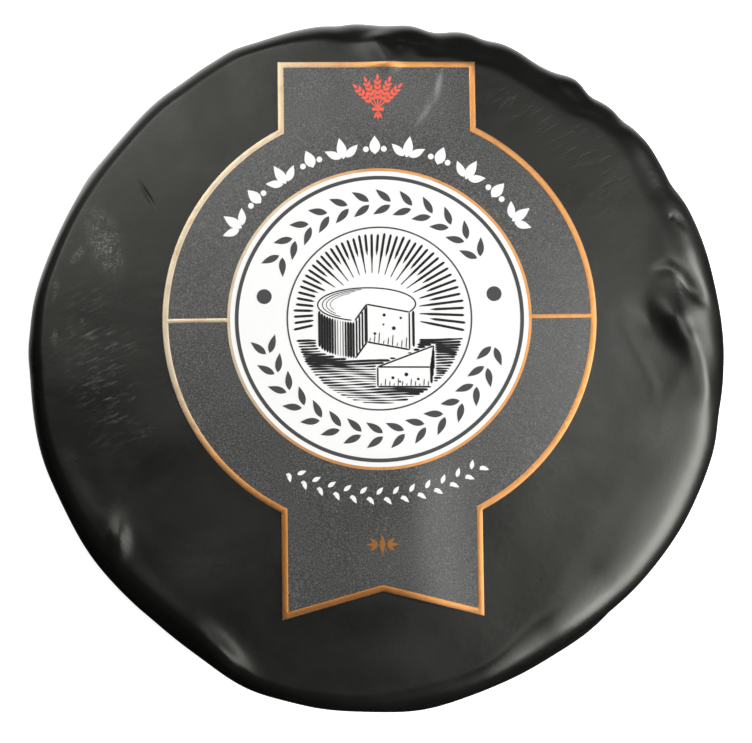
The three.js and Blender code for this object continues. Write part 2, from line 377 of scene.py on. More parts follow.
@dataclass
class WaxedTruckle:
    """The cheese in its coat of black wax. Sizes are in millimetres and degrees."""

    rim_radius: float = 88.6
    height: float = 78.0
    wall_bulge: float = 1.2
    foot_rounding: float = 10.0
    crown: float = 0.7
    plain_shoulder: float = 10.0
    headings: int = 540
    shoulder_rows: int = 24
    foot_rows: int = 8
    wall_rows: int = 30
    face_insets: tuple[float, ...] = (1.1,) * 22 + (4.6,) * 11
    foot_insets: tuple[float, ...] = (11.0,) * 6
    long_wave: Point = (36.0, 0.3)
    short_wave: Point = (13.0, 0.07)
    wall_waves: tuple[tuple[float, ...], ...] = (
        # How many go round, how high they are, where they start and how they lean
        (7, 0.35, 0.4, 0.03),
        (13, 0.22, 2.1, -0.05),
        (23, 0.14, 4.4, 0.08),
    )
    label_middle: float = 8.0
    clear_of_label: Point = (50.0, 66.0)
    waves_under_label: float = 0.35
    foot_fade: float = 12.0
    shoulders: tuple[Shoulder, ...] = tuple(
        Shoulder(*row)
        for row in (
            (0, 12.5, 12), (8, 13.5, 13), (20, 12, 12), (34, 10, 9), (44, 8.5, 8), (60, 10, 8),
            (80, 9.5, 7.5), (96, 7, 7), (112, 4.4, 5.6), (150, 4.2, 6.2), (166, 4.2, 6.5), (180, 4.9, 7.5),
            (190, 4.7, 8), (205, 4.8, 9), (214, 6, 11), (224, 6.3, 12), (236, 6, 11.5), (250, 3.4, 6),
            (264, 4.4, 5.5), (276, 5.5, 6), (288, 6.2, 6.3), (302, 11, 8.5), (316, 18.5, 10.5),
            (332, 20.5, 11), (348, 16, 10.5), (360, 12.5, 12),
        )
    )
    swells: tuple[Swell, ...] = tuple(
        Swell(*row)
        for row in (
            # The broad flats and corners
            (301, 19, -2.8), (264, 14, 0.4), (231, 13, -1.8), (207, 6, -0.4), (188, 8, 0.4), (171, 8, 0.9),
            (141, 12, -0.9), (125, 4, -0.4), (115, 3, 0.5), (105, 6, 0.3), (97, 2, -0.4), (89, 4, -1.1),
            (80.5, 3, -1.2), (71, 5, 0.4), (55.5, 2.5, 0.9), (45, 5, 1), (39, 3, 0.6), (20, 14, 0.7),
            (3, 5, 0.2),
            # The small waves between them
            (31.5, 2.5, -0.65), (45, 2, -0.7), (51.7, 1.8, -0.55), (60, 3, -0.5), (63, 2.5, -0.4),
            (72, 2.2, -0.6), (82, 4, -0.4), (178.5, 3, 0.35), (196, 6, 0.3), (214, 14, 0.3), (239, 6, 0.3),
            (246.5, 1.5, -0.4), (278, 5, -0.45), (322, 9, -0.45), (337, 8, -0.7), (351, 4, -0.65),
        )
    )
    marks: tuple[PressMark, ...] = (
        # The pinch at the right: a ridge, the hollow behind it, and the rolls of slack wax round it
        PressMark(75.4, 10.0, 6.0, 3.8, -62, 1.9),
        PressMark(69.0, 9.8, 5.0, 3.5, -51, -0.5),
        PressMark(78.6, 18.6, 4.2, 2.4, -52, -1.3),
        PressMark(77.2, 28.0, 12, 6.4, 82, 0.85),
        PressMark(82.6, -9.0, 15, 8, -84, 1.15),
        PressMark(76.2, 35.6, 2.2, 1.0, -50, -0.4),
        PressMark(43.5, -43.5, 24, 9, 45, -0.22),
        # The pinch at the back right
        PressMark(48.2, 68.4, 7, 3.6, -38, -1.5),
        PressMark(56.2, 64.6, 4.5, 2.4, -45, -0.7),
        PressMark(53.2, 68.1, 3, 1.8, -50, 0.5),
        # The dips and knobs along the back
        PressMark(36.2, 76.2, 13, 4, -22, -0.8),
        PressMark(20, 81, 13, 3.6, -8, -0.9),
        PressMark(9.2, 82.2, 5.6, 3.2, -6, -0.7),
        PressMark(-6.5, 84.5, 5, 3.6, 12, -0.6),
        PressMark(6.0, 81.6, 1.2, 1.3, 0, 0.45),
        PressMark(9.0, 81.0, 1.2, 1.5, 0, 0.4),
        PressMark(11.8, 81.4, 1.1, 1.3, 0, 0.35),
        # The lip below the rim at the back left
        PressMark(-73.5, 47.5, 13, 9, 57, 1.6, 6, 14),
        # The lumps at the front left
        PressMark(-65.4, -45.9, 5.2, 2.4, -86, 1.3),
        PressMark(-39.0, -74.8, 9.0, 3.0, -50, 1.6),
    )
    folds: tuple[Fold, ...] = (
        # The crest that runs from the pinch down into the rim, and the crease above it
        Fold([(77.2, 8.5), (78.8, 4.4), (80.6, -1), (81.9, -8), (82.2, -16)], 2.4, 0.8),
        Fold([(69.4, 21.4), (73.4, 23.4), (77.2, 21.0), (80.4, 17.2), (84.6, 13.0)], 1.3, -0.7, 12.0),
        Fold([(61.6, 11.5), (63.4, 5.8), (67.0, -1.0), (69.4, -7), (70.2, -14)], 0.9, 0.07),
        # The low roll of wax inside the rim at the front left
        Fold([(-80, -22), (-77, -31), (-72.4, -38.5), (-68.4, -43)], 2.0, 0.22),
        Fold([(-64, -50), (-58, -57), (-51, -63.4), (-46, -67.6)], 2.0, 0.24),
        # The fold at the back that runs in under the label
        Fold([(-1.7, 85.4), (0.1, 81.2), (2.5, 77.2), (4.3, 73.2)], 3.2, 0.85),
    )
    shift: Vector = field(default_factory=lambda: Vector((0, 0, 0)))

    def rim(self, heading: float, down: float = 0.0) -> float:
        """The wall's radius toward a heading, just under the top edge or further down."""
        return self.rim_radius + sum(swell.at(heading, down) for swell in self.swells)

    def shoulder(self, heading: float) -> tuple[float, float]:
        """The shoulder's width and drop toward a heading.

        Args:
            heading: The heading in degrees.

        Returns:
            The width and the drop.
        """
        turn = heading % 360
        after = next(i for i, s in enumerate(self.shoulders) if s.toward > turn)
        a, b = self.shoulders[after - 1], self.shoulders[after]
        share = smoothstep(turn, a.toward, b.toward)
        return a.width + (b.width - a.width) * share, a.drop + (b.drop - a.drop) * share

    def relief(self, x: float, y: float, z: float) -> float:
        """How far the press marks raise the wax at a point."""
        depth = max(0.0, self.height - z)
        return sum(mark.at(x, y, depth) for mark in self.marks + self.folds)

    def plain_face(self, radius: float) -> float:
        """The height of the plain domed face at a radius."""
        return self.height - self.crown * (radius / self.rim_radius) ** 2

    def dip_waves(self, x: float, y: float, z: float) -> float:
        """The soft unevenness that dipping leaves: long waves and small ones.

        Args:
            x: The point's place across.
            y: The point's place along.
            z: Its height.

        Returns:
            The rise in millimetres.
        """
        at = Vector((x, y, z))
        long_waves = noise.noise(at / self.long_wave[0]) * self.long_wave[1]
        short_waves = noise.noise(at / self.short_wave[0] + Vector((7, 3, 1))) * self.short_wave[1]
        clear = 1.0
        if z > self.height - 3:
            clear = smoothstep(math.hypot(x, y - self.label_middle), *self.clear_of_label)
        share = self.waves_under_label + (1 - self.waves_under_label) * clear
        return long_waves * share + short_waves * clear

    def top_height(self, x: float, y: float) -> float:
        """The height of the wax at a place on the top, out to the shoulder.

        Args:
            x: The place across.
            y: The place along.

        Returns:
            The height in millimetres.
        """
        radius = math.hypot(x, y)
        heading = math.degrees(math.atan2(y, x))
        width, drop = self.shoulder(heading)
        flat = self.rim(heading) - width
        if radius <= flat:
            plain = self.plain_face(radius)
        else:
            lean = math.asin(min(1.0, (radius - flat) / width))
            plain = self.plain_face(flat) - drop * (1 - math.cos(lean))
        return plain + self.relief(x, y, plain) + self.dip_waves(x, y, plain)

    def wall_wave(self, heading: float, z: float) -> float:
        """The slow waves round the wall at a height."""
        fade = math.sin(math.pi * min(1.0, max(0.0, z / self.height)))
        turn = math.radians(heading)
        return fade * sum(h * math.cos(n * turn + start + lean * z) for n, h, start, lean in self.wall_waves)

    def skin(self, plain: Vector) -> Vector:
        """Where a point of the plain turned body goes on the real truckle.

        Args:
            plain: A point of the body as it was turned, in millimetres.

        Returns:
            The point on the waxed skin, in millimetres.
        """
        heading = math.degrees(math.atan2(plain.y, plain.x))
        radius, z = math.hypot(plain.x, plain.y), plain.z
        width, drop = self.shoulder(heading)
        flat = self.rim(heading) - width
        shoulder_foot = self.plain_face(flat) - drop
        r0, s0, f0 = self.rim_radius, self.plain_shoulder, self.foot_rounding
        outward, upward = 1.0, 0.0
        wall = shoulder_foot - f0
        sole = self.rim(heading, wall) - self.wall_bulge / 2 - f0
        if z > self.height - 1e-3:
            out = flat * radius / (r0 - s0)
            up = self.plain_face(out)
            outward, upward = 0.0, 1.0
        elif z > self.height - s0:
            lean = math.atan2(max(0.0, radius - (r0 - s0)), z - (self.height - s0))
            out = flat + width * math.sin(lean)
            up = shoulder_foot + drop * math.cos(lean)
            outward, upward = math.sin(lean) / width, math.cos(lean) / drop
        elif z >= f0:
            share = (self.height - s0 - z) / (self.height - s0 - f0)
            bulge = math.sin(math.pi * share) ** 2 - share / 2
            out = self.rim(heading, wall * share) + self.wall_bulge * bulge
            up = shoulder_foot - wall * share
        elif z > 1e-3:
            lean = math.atan2(f0 - z, max(0.0, radius - (r0 - f0)))
            out = sole + f0 * math.cos(lean)
            up = f0 * (1 - math.sin(lean))
            outward = math.cos(lean)
        else:
            return Vector((plain.x, plain.y, 0)) * (sole / (r0 - f0))
        length = math.hypot(outward, upward) or 1.0
        x, y = polar(out, heading)
        rise = self.relief(x, y, up) + self.dip_waves(x, y, up) * smoothstep(up, 0, self.foot_fade)
        across = rise + (self.wall_wave(heading, up) if outward > 0 else 0.0)
        x, y = polar(out + across * outward / length, heading)
        return Vector((x, y, up + rise * upward / length))

    def build(self) -> Object:
        """Turn the body, round its edges, and press it into the real one's shape.

        Returns:
            The skin of the truckle, a closed mesh.
        """
        top = self.height
        obj = named(drum(self.rim_radius, top, self.headings), "wax_coat")
        with editing(obj):
            select_where(Pick.EDGES, lambda c: all(p.z > (top - 0.1) * MM for p in c))
            round_edges(self.plain_shoulder, self.shoulder_rows)
            select_where(Pick.EDGES, lambda c: all(p.z < 0.1 * MM for p in c))
            round_edges(self.foot_rounding, self.foot_rows)
            tall = (top - self.plain_shoulder - self.foot_rounding) * 0.9 * MM
            select_where(Pick.EDGES, lambda c: abs(c[0].z - c[-1].z) > tall)
            bpy.ops.mesh.subdivide(number_cuts=self.wall_rows)
            for level, steps in ((top, self.face_insets), (0.0, self.foot_insets)):
                select_where(Pick.FACES, lambda c: len(c) > 4 and all(abs(p.z / MM - level) < 0.1 for p in c))
                for step in steps:
                    bpy.ops.mesh.inset(thickness=step * MM, depth=0)
                bpy.ops.mesh.poke()
        for vertex in obj.data.vertices:
            vertex.co = self.skin(vertex.co / MM) * MM
        corners = [vertex.co for vertex in obj.data.vertices]
        own = [(min(c[i] for c in corners) + max(c[i] for c in corners)) / 2 for i in (0, 1)]
        low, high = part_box("waxed_truckle")
        self.shift = Vector([(low[i] + high[i]) / 2 - own[i] for i in (0, 1)] + [0.0])
        obj.data.transform(Matrix.Translation(self.shift))
        take(obj)
        bpy.ops.object.shade_smooth()
        return obj


# Finishes


class Nodes:
    """A small bench for wiring shader nodes."""

    def __init__(self, tree: NodeTree) -> None:
        """Start on the node tree of a material, a world or a group."""
        self.tree = tree

    def feed(self, socket: NodeSocket, value: object) -> None:
        """Join another node's output to an input, or set the input's own value.

        Args:
            socket: The input.
            value: Another node's output, or a value.
        """
        if isinstance(value, NodeSocket):
            self.tree.links.new(value, socket)
        else:
            socket.default_value = value

    def add(self, kind: str, **settings: object) -> Node:
        """Add a node.

        Args:
            kind: The node's type name without its ShaderNode prefix.
            settings: Properties of the node, or values and sockets for its inputs. An input's name
                has underscores for spaces.

        Returns:
            The new node.
        """
        node = self.tree.nodes.new(kind if kind.startswith("Node") else "ShaderNode" + kind)
        for key, value in settings.items():
            if hasattr(node, key):
                setattr(node, key, value)
            else:
                self.feed(node.inputs[key.replace("_", " ")], value)
        return node

    def math(self, operation: str, *values: object, clamp: bool = False) -> NodeSocket:
        """Add a Math node.

        Args:
            operation: The node's operation.
            values: A socket or a number for each input.
            clamp: Whether the result is kept between 0 and 1.

        Returns:
            The node's output.
        """
        node = self.add("Math", operation=operation, use_clamp=clamp)
        for socket, value in zip(node.inputs, values):
            self.feed(socket, value)
        return node.outputs[0]

    def times(self, a: object, b: object, clamp: bool = False) -> NodeSocket:
        """One value times another."""
        return self.math("MULTIPLY", a, b, clamp=clamp)

    def plus(self, a: object, b: object, clamp: bool = False) -> NodeSocket:
        """One value plus another."""
        return self.math("ADD", a, b, clamp=clamp)

    def scaled(self, value: object, gain: object, base: object, clamp: bool = False) -> NodeSocket:
        """A value times a gain, plus a base."""
        return self.math("MULTIPLY_ADD", value, gain, base, clamp=clamp)

    def noise(self, at: NodeSocket, size_mm: object, **settings: float) -> NodeSocket:
        """Noise of a size in millimetres, at a position."""
        scale = self.math("DIVIDE", 1 / MM, size_mm)
        return self.add("TexNoise", Vector=at, Scale=scale, **settings).outputs["Fac"]

    def ramp(self, value: NodeSocket, low: object, high: object) -> NodeSocket:
        """Ease a value from 0 at low to 1 at high, which are numbers or sockets."""
        node = self.add("MapRange", interpolation_type="SMOOTHSTEP", Value=value, From_Min=low, From_Max=high)
        return node.outputs["Result"]

    def mix(self, share: NodeSocket, a: object, b: object) -> NodeSocket:
        """Mix two colours or sockets by the share of the second.

        Args:
            share: The share of the second.
            a: The first colour or socket.
            b: The second one.

        Returns:
            The mixed colour.
        """
        node = self.add("Mix", data_type="RGBA")
        # A mix of colours has its share at place 0, and the colours at 6 and 7
        for place, value in ((0, share), (6, a), (7, b)):
            self.feed(node.inputs[place], (*value, 1.0) if isinstance(value, tuple) else value)
        return node.outputs[2]

    def group(self, tree: NodeTree, at: NodeSocket, **values: object) -> NodeSocket:
        """Place a node group at a position, set its other inputs, and take its output."""
        return self.add("Group", node_tree=tree, Vector=at, **values).outputs[0]


def new_group(
    name: str, inputs: dict[str, float], output: str
) -> tuple[Nodes, bpy.types.NodeOutputs, NodeSocket]:
    """Start a shader node group.

    Args:
        name: The group's name.
        inputs: Its number inputs, with their defaults. Vector is always the first input.
        output: Its number output.

    Returns:
        The bench, what the group is given, by name, and the socket that takes its result.
    """
    tree = bpy.data.node_groups.new(name, "ShaderNodeTree")
    tree.interface.new_socket("Vector", in_out="INPUT", socket_type="NodeSocketVector")
    for key, value in inputs.items():
        tree.interface.new_socket(key, in_out="INPUT", socket_type="NodeSocketFloat").default_value = value
    tree.interface.new_socket(output, in_out="OUTPUT", socket_type="NodeSocketFloat")
    bench = Nodes(tree)
    return bench, bench.add("NodeGroupInput").outputs, bench.add("NodeGroupOutput").inputs[0]


def grain_group() -> NodeTree:
    """Fine paper or foil grain.

    Returns:
        A group that turns a position into Grain, from 0 to 1, at a size in millimetres.
    """
    bench, given, result = new_group("fine_grain", {"Size mm": 0.35, "Contrast": 1.0}, "Grain")
    fine = bench.noise(given["Vector"], given["Size mm"], Detail=3.0, Roughness=0.65)
    centred = bench.math("SUBTRACT", fine, 0.5)
    bench.feed(result, bench.scaled(centred, given["Contrast"], 0.5, clamp=True))
    return bench.tree


def mottle_group() -> NodeTree:
    """Soft clouds of slightly different gloss, as on dipped wax and pressed paper.

    Returns:
        A group that turns a position into Mottle, from 0 to 1, at a size in millimetres.
    """
    bench, given, result = new_group("soft_mottle", {"Size mm": 12.0, "Low": 0.35, "High": 0.65}, "Mottle")
    cloud = bench.noise(given["Vector"], given["Size mm"], Detail=5.0, Roughness=0.55, Distortion=0.6)
    bench.feed(result, bench.ramp(cloud, given["Low"], given["High"]))
    return bench.tree


def patch_group() -> NodeTree:
    """A soft-edged oval patch, for powdery marks, scuffs, dulled places and painted sheen.

    Returns:
        A group that turns a position into Patch, which is 1 in the middle of an upright oval
        column and fades to 0 at its edge.
    """
    sizes = {"X mm": 0.0, "Y mm": 0.0, "Half width mm": 10.0, "Half length mm": 10.0, "Turn": 0.0}
    bench, given, result = new_group("soft_patch", sizes, "Patch")
    split = bench.add("SeparateXYZ", Vector=given["Vector"])
    in_mm = {axis: bench.times(split.outputs[axis], 1 / MM) for axis in "XY"}
    dx, dy = (bench.math("SUBTRACT", in_mm[axis], given[axis + " mm"]) for axis in "XY")
    turn = bench.math("RADIANS", given["Turn"])
    cos, sin = bench.math("COSINE", turn), bench.math("SINE", turn)
    across = bench.plus(bench.times(dx, cos), bench.times(dy, sin))
    along = bench.math("SUBTRACT", bench.times(dy, cos), bench.times(dx, sin))
    squares = [
        bench.math("POWER", bench.math("DIVIDE", offset, given[size]), 2.0)
        for offset, size in ((across, "Half width mm"), (along, "Half length mm"))
    ]
    far = bench.math("SQRT", bench.plus(*squares))
    bench.feed(result, bench.ramp(far, 1.0, 0.0))
    return bench.tree


def streak_group() -> NodeTree:
    """Broken parallel streaks, as where a powdery film was wiped or wax was brushed.

    Returns:
        A group that turns a position into Streak, from 0 to 1. The streaks are Size wide, Stretch
        times as long, and run at Turn degrees from +X.
    """
    sizes = {"Size mm": 0.9, "Stretch": 5.0, "Turn": 25.0, "Low": 0.5, "High": 0.65}
    bench, given, result = new_group("wiped_streaks", sizes, "Streak")
    angle = bench.times(bench.math("RADIANS", given["Turn"]), -1.0)
    turned = bench.add("VectorRotate", rotation_type="Z_AXIS", Vector=given["Vector"], Angle=angle)
    squash = bench.add("CombineXYZ", X=bench.math("DIVIDE", 1.0, given["Stretch"]), Y=1.0, Z=1.0)
    drawn = bench.add("VectorMath", operation="MULTIPLY")
    bench.feed(drawn.inputs[0], turned.outputs[0])
    bench.feed(drawn.inputs[1], squash.outputs[0])
    lines = bench.noise(drawn.outputs[0], given["Size mm"], Detail=3.0, Roughness=0.7)
    bench.feed(result, bench.ramp(lines, given["Low"], given["High"]))
    return bench.tree


@dataclass(frozen=True)
class Palette:
    """The node groups that the finishes share."""

    grain: NodeTree
    mottle: NodeTree
    patch: NodeTree
    streak: NodeTree


class WearOrSheen(Enum):
    """What has happened to a place on the wax or the paper, or the painted sheen put on it."""

    # Pale bloom on the wax, and painted sheen on the wax at the right
    CLOUDED = "clouded"
    SPECKLED = "speckled"
    WIPED = "wiped"
    CRACKLED = "crackled"
    BRUSHED = "brushed"
    NICKED = "nicked"
    # Painted sheen on the paper, a highlight painted into its colour
    CREASED = "creased"


@dataclass(frozen=True)
class WearOrSheenPlace:
    """An oval place of wear or of painted sheen, in millimetres. Its long axis is at turn degrees from +Y."""

    wear: WearOrSheen
    x: float
    y: float
    half_width: float
    half_length: float
    turn: float
    strength: float


class Coat(Nodes):
    """The nodes of one material, with its shader, its object coordinates and the shared groups."""

    def __init__(self, tree: NodeTree, palette: Palette) -> None:
        """Start on the tree of a material that has one Principled BSDF.

        Args:
            tree: The material's node tree.
            palette: The shared node groups.
        """
        super().__init__(tree)
        self.palette = palette
        self.shader = next(n for n in tree.nodes if n.type == "BSDF_PRINCIPLED")
        self.at = self.add("TexCoord").outputs["Object"]

    def give(self, name: str, value: object) -> None:
        """Feed one input of the shader."""
        self.feed(self.shader.inputs[name], value)

    def draw(self, tree: NodeTree, **values: object) -> NodeSocket:
        """Draw one of the shared groups over the piece."""
        return self.group(tree, self.at, **values)

    def mask(self, place: WearOrSheenPlace) -> NodeSocket:
        """Where a place of wear or of painted sheen is.

        Args:
            place: The place.

        Returns:
            A soft oval mask from 0 to the place's strength.
        """
        oval = self.draw(
            self.palette.patch,
            X_mm=place.x,
            Y_mm=place.y,
            Half_width_mm=place.half_width,
            Half_length_mm=place.half_length,
            Turn=place.turn,
        )
        return self.times(oval, place.strength)

    def bump(self, height: NodeSocket, distance_mm: float) -> None:
        """Raise the surface by a height map, of which 1 stands distance_mm high."""
        node = self.add("Bump", Strength=1.0, Distance=distance_mm * MM, Height=height)
        self.give("Normal", node.outputs["Normal"])


@dataclass(frozen=True)
class Finish:
    """A finish: its colour, gloss and grain. Colours are linear."""

    name: str
    colour: Colour
    roughness: float
    metallic: float = 0.0

    def wire(self, coat: Coat) -> None:
        """Wire what this kind of finish has of its own."""
        raise NotImplementedError

    def make(self, palette: Palette) -> Material:
        """Make the material.

        Args:
            palette: The shared node groups.

        Returns:
            The material, which has one Principled BSDF.
        """
        material = bpy.data.materials.new(self.name)
        material.use_nodes = True
        material.diffuse_color = (*self.colour, 1.0)
        coat = Coat(material.node_tree, palette)
        coat.give("Base Color", (*self.colour, 1.0))
        coat.give("Roughness", self.roughness)
        coat.give("Metallic", self.metallic)
        self.wire(coat)
        return material


@dataclass(frozen=True)
class BlackWax(Finish):
    """Satin black food wax, mottled by dipping, with powdery scuffs, hairline scratches and painted sheen."""

    dust_and_sheen_tone: Colour = (0.2, 0.2, 0.188)
    sheen_tint: Colour = (1.0, 1.0, 0.92)
    cloud_gloss: float = 0.1
    dust_dulling: float = 0.25
    speck_floor: float = 0.12
    speck_breaks: Point = (0.75, 0.25)
    wipe_breaks: Point = (0.5, 0.2)
    relief_mm: float = 0.08
    dimple_rise: float = 0.9
    grain_rise: float = 0.05
    crackle_rise: float = 0.9
    stroke_rise: float = -0.55
    nick_rise: float = -2.0
    places: tuple[WearOrSheenPlace, ...] = tuple(
        WearOrSheenPlace(wear, *row)
        for wear, rows in (
            # Dust and scuffs at the left
            (
                WearOrSheen.SPECKLED,
                (
                    (-69.8, 29.5, 6.6, 13, 17, 0.95), (-75.6, 27.0, 1.8, 7, -42, 0.8),
                    (-82.0, 17.5, 1.3, 4.4, -12, 0.7), (-82.2, 5.0, 1.3, 3, -4, 0.7),
                    (-75.2, 9.0, 1.1, 1.1, 0, 1.0),
                ),
            ),
            (
                WearOrSheen.WIPED,
                (
                    (-70, -2, 14, 30, 12, 0.62), (-77.0, 11.6, 1.1, 5, -65, 0.7),
                    (-69.4, 11.9, 1.2, 5, -66, 0.7), (-74.4, 5.9, 1.9, 7, -65, 1.0),
                    (-70.8, 2.4, 2.0, 5.6, -62, 1.0), (-69.4, -3.6, 0.9, 7, -65, 0.8),
                    (-69.8, -11.0, 1.3, 7, -66, 0.9), (-66.2, -16.2, 1.3, 7.4, -65, 0.8),
                    (-59.4, -19.6, 1.4, 7.2, -65, 0.9),
                ),
            ),
            # Pale bloom on the face at the left of the label and in front of it, and painted sheen at the
            # right
            (
                WearOrSheen.CLOUDED,
                (
                    (76, 24, 9, 16, -14, 0.12), (-44, -52, 20, 12, 30, 0.08), (-52, -12, 26, 16, 0, 0.08),
                    (5, -74, 14, 8, 0, 0.08), (71, -19, 8, 11, -10, 0.2),
                ),
            ),
            # Crackled wax at the pinch, along the slumped rim above it and on the back rim's knobs
            (
                WearOrSheen.CRACKLED,
                (
                    (76.4, 17.0, 5.0, 4.0, 0, 1.0), (73.8, 42.7, 4.0, 13, 37, 0.7),
                    (77.6, 33.0, 3.0, 5, 20, 0.6), (8, 81.4, 8, 3, 0, 0.7),
                ),
            ),
            # Brush marks at the upper right, and faint ones at the lower right
            (
                WearOrSheen.BRUSHED,
                ((50, 55, 10, 24, 44, 0.8), (34, 66, 8, 14, 66, 0.7), (46, -62, 12, 22, -50, 0.3)),
            ),
            # A scratch at the upper left and a nick above the pinch
            (WearOrSheen.NICKED, ((-58.9, 41.2, 0.9, 5.0, 30, 0.9), (74.4, 35.9, 1.1, 1.5, 0, 0.7))),
        )
        for row in rows
    )

    def worn(self, coat: Coat, wear: WearOrSheen) -> NodeSocket:
        """Where the wax has one kind of wear or of painted sheen, from 0 to 1."""
        return reduce(partial(coat.math, "MAXIMUM"), [coat.mask(p) for p in self.places if p.wear is wear])

    def wire(self, coat: Coat) -> None:
        """Wire the powdery marks and painted sheen, the gloss, and the relief that is too small to model.

        Args:
            coat: The material's nodes.
        """
        coat.give("Specular Tint", (*self.sheen_tint, 1))
        mottle, grains, streak = coat.palette.mottle, coat.palette.grain, coat.palette.streak
        clouds = coat.draw(mottle, Size_mm=22.0, Low=0.3, High=0.7)
        breaks = coat.draw(mottle, Size_mm=3.2, Low=0.4, High=0.62)
        specks = coat.draw(mottle, Size_mm=0.5, Low=0.44, High=0.72)
        grain = coat.draw(grains, Size_mm=0.5, Contrast=1.4)
        wipes = coat.draw(streak, Size_mm=0.85, Stretch=5.5, Turn=25.0, Low=0.48, High=0.74)
        # Pale bloom, and at the right a painted sheen, broken up by the grain
        clouded = coat.times(self.worn(coat, WearOrSheen.CLOUDED), grain)
        speckled = coat.times(self.worn(coat, WearOrSheen.SPECKLED), coat.plus(specks, self.speck_floor))
        speckled = coat.times(speckled, coat.scaled(breaks, *self.speck_breaks))
        wiped = coat.times(self.worn(coat, WearOrSheen.WIPED), wipes)
        wiped = coat.times(wiped, coat.scaled(breaks, *self.wipe_breaks))
        # Dust, bloom and painted sheen all pale the wax and dull its gloss
        dust_and_sheen = coat.math("MAXIMUM", coat.math("MAXIMUM", speckled, wiped), clouded, clamp=True)
        coat.give("Base Color", coat.mix(dust_and_sheen, self.colour, self.dust_and_sheen_tone))
        gloss = coat.scaled(clouds, self.cloud_gloss, self.roughness - self.cloud_gloss / 2)
        coat.give("Roughness", coat.scaled(dust_and_sheen, self.dust_dulling, gloss, clamp=True))
        dimples = coat.draw(grains, Size_mm=9.0, Contrast=1.0)
        crackle = coat.draw(grains, Size_mm=1.3, Contrast=2.0)
        strokes = coat.draw(streak, Size_mm=1.5, Stretch=3.5, Turn=32.0, Low=0.5, High=0.68)
        height = coat.scaled(dimples, self.dimple_rise, coat.times(grain, self.grain_rise))
        for wear, pattern, rise in (
            (WearOrSheen.CRACKLED, crackle, self.crackle_rise),
            (WearOrSheen.BRUSHED, strokes, self.stroke_rise),
            (WearOrSheen.NICKED, 1.0, self.nick_rise),
        ):
            height = coat.scaled(coat.times(self.worn(coat, wear), pattern), rise, height)
        coat.bump(height, self.relief_mm)


@dataclass(frozen=True)
class GrainedPaper(Finish):
    """Matte label paper or print with a fine grain."""

    grain_mm: float = 0.32
    contrast: float = 1.7
    spread: float = 0.5
    lift_mm: float = 0.01
    sheen: float = 0.5
    painted_sheens: tuple[WearOrSheenPlace, ...] = ()
    flecks: float = 0.0
    fleck_start: float = 0.6
    cloud_share: float = 0.2
    grain_gloss: float = 0.24
    # The pale colour of the painted sheen
    painted_highlight_tone: Colour = (0.22, 0.22, 0.214)
    silver: Colour = (0.34, 0.34, 0.33)

    def wire(self, coat: Coat) -> None:
        """Wire the grain, the patches of painted sheen and the silvery flecks.

        Args:
            coat: The material's nodes.
        """
        coat.give("Specular IOR Level", self.sheen)
        grain = coat.draw(coat.palette.grain, Size_mm=self.grain_mm, Contrast=self.contrast)
        clouds = coat.draw(coat.palette.mottle, Size_mm=16.0, Low=0.3, High=0.7)
        dark = tuple(c * (1 - self.spread) for c in self.colour)
        light = tuple(min(1.0, c * (1 + self.spread)) for c in self.colour)
        shade = coat.scaled(grain, 1 - self.cloud_share, coat.times(clouds, self.cloud_share))
        tone = coat.mix(shade, dark, light)
        # Pale patches of painted sheen: a highlight along the tab's crease, and lighter paper in the tab and
        # the tail
        for sheen_place in self.painted_sheens:
            tone = coat.mix(coat.mask(sheen_place), tone, self.painted_highlight_tone)
        flecks = coat.times(coat.math("SUBTRACT", grain, self.fleck_start), self.flecks, clamp=True)
        coat.give("Base Color", coat.mix(flecks, tone, self.silver))
        coat.give("Metallic", flecks)
        rough = coat.scaled(grain, self.grain_gloss, self.roughness - self.grain_gloss / 2, clamp=True)
        coat.give("Roughness", rough)
        coat.bump(grain, self.lift_mm)


@dataclass(frozen=True)
class CopperFoil(Finish):
    """Stamped copper foil with fine grain, with a paler painted highlight at the left and a browner painted
    shade along the tail.

    Each pair says from where to where, in millimetres along X or Y, a change of tone grows.
    """

    worn: Colour = (0.42, 0.19, 0.07)
    # The paler copper of the painted highlight at the left
    painted_highlight_tone: Colour = (0.72, 0.6, 0.42)
    # The darker, browner copper of the painted shade along the tail
    painted_shade_brown: Colour = (0.5, 0.205, 0.055)
    painted_highlight_x: Point = (4.0, -34.0)
    painted_highlight_y: Point = (-30.0, -4.0)
    painted_shade_x: Point = (30.0, -5.0)
    painted_shade_y: Point = (-22.0, -46.0)
    tarnish: Point = (0.5, 0.1)
    grain_gloss: float = 0.2
    lift_mm: float = 0.02

    def wire(self, coat: Coat) -> None:
        """Wire the painted highlight and the painted shade, the tarnish and the grain.

        Args:
            coat: The material's nodes.
        """
        place = coat.add("SeparateXYZ", Vector=coat.at).outputs

        def part(*spans: Point) -> NodeSocket:
            """Where a tone has grown, along X and along Y."""
            return coat.times(*(coat.ramp(place[k], a * MM, b * MM) for k, (a, b) in zip("XY", spans)))

        grain = coat.draw(coat.palette.grain, Size_mm=0.35, Contrast=1.6)
        wear = coat.draw(coat.palette.mottle, Size_mm=6.0, Low=0.45, High=0.75)
        tarnish = coat.times(wear, coat.scaled(grain, *self.tarnish))
        # Paler copper at the left is a painted highlight, a browner tone along the tail is painted shade
        tone = coat.mix(part(self.painted_highlight_x, self.painted_highlight_y), self.colour, self.painted_highlight_tone)
        tone = coat.mix(part(self.painted_shade_x, self.painted_shade_y), tone, self.painted_shade_brown)
        coat.give("Base Color", coat.mix(tarnish, tone, self.worn))
        rough = coat.scaled(grain, self.grain_gloss, self.roughness - self.grain_gloss / 2, clamp=True)
        coat.give("Roughness", rough)
        coat.bump(grain, self.lift_mm)


# The label


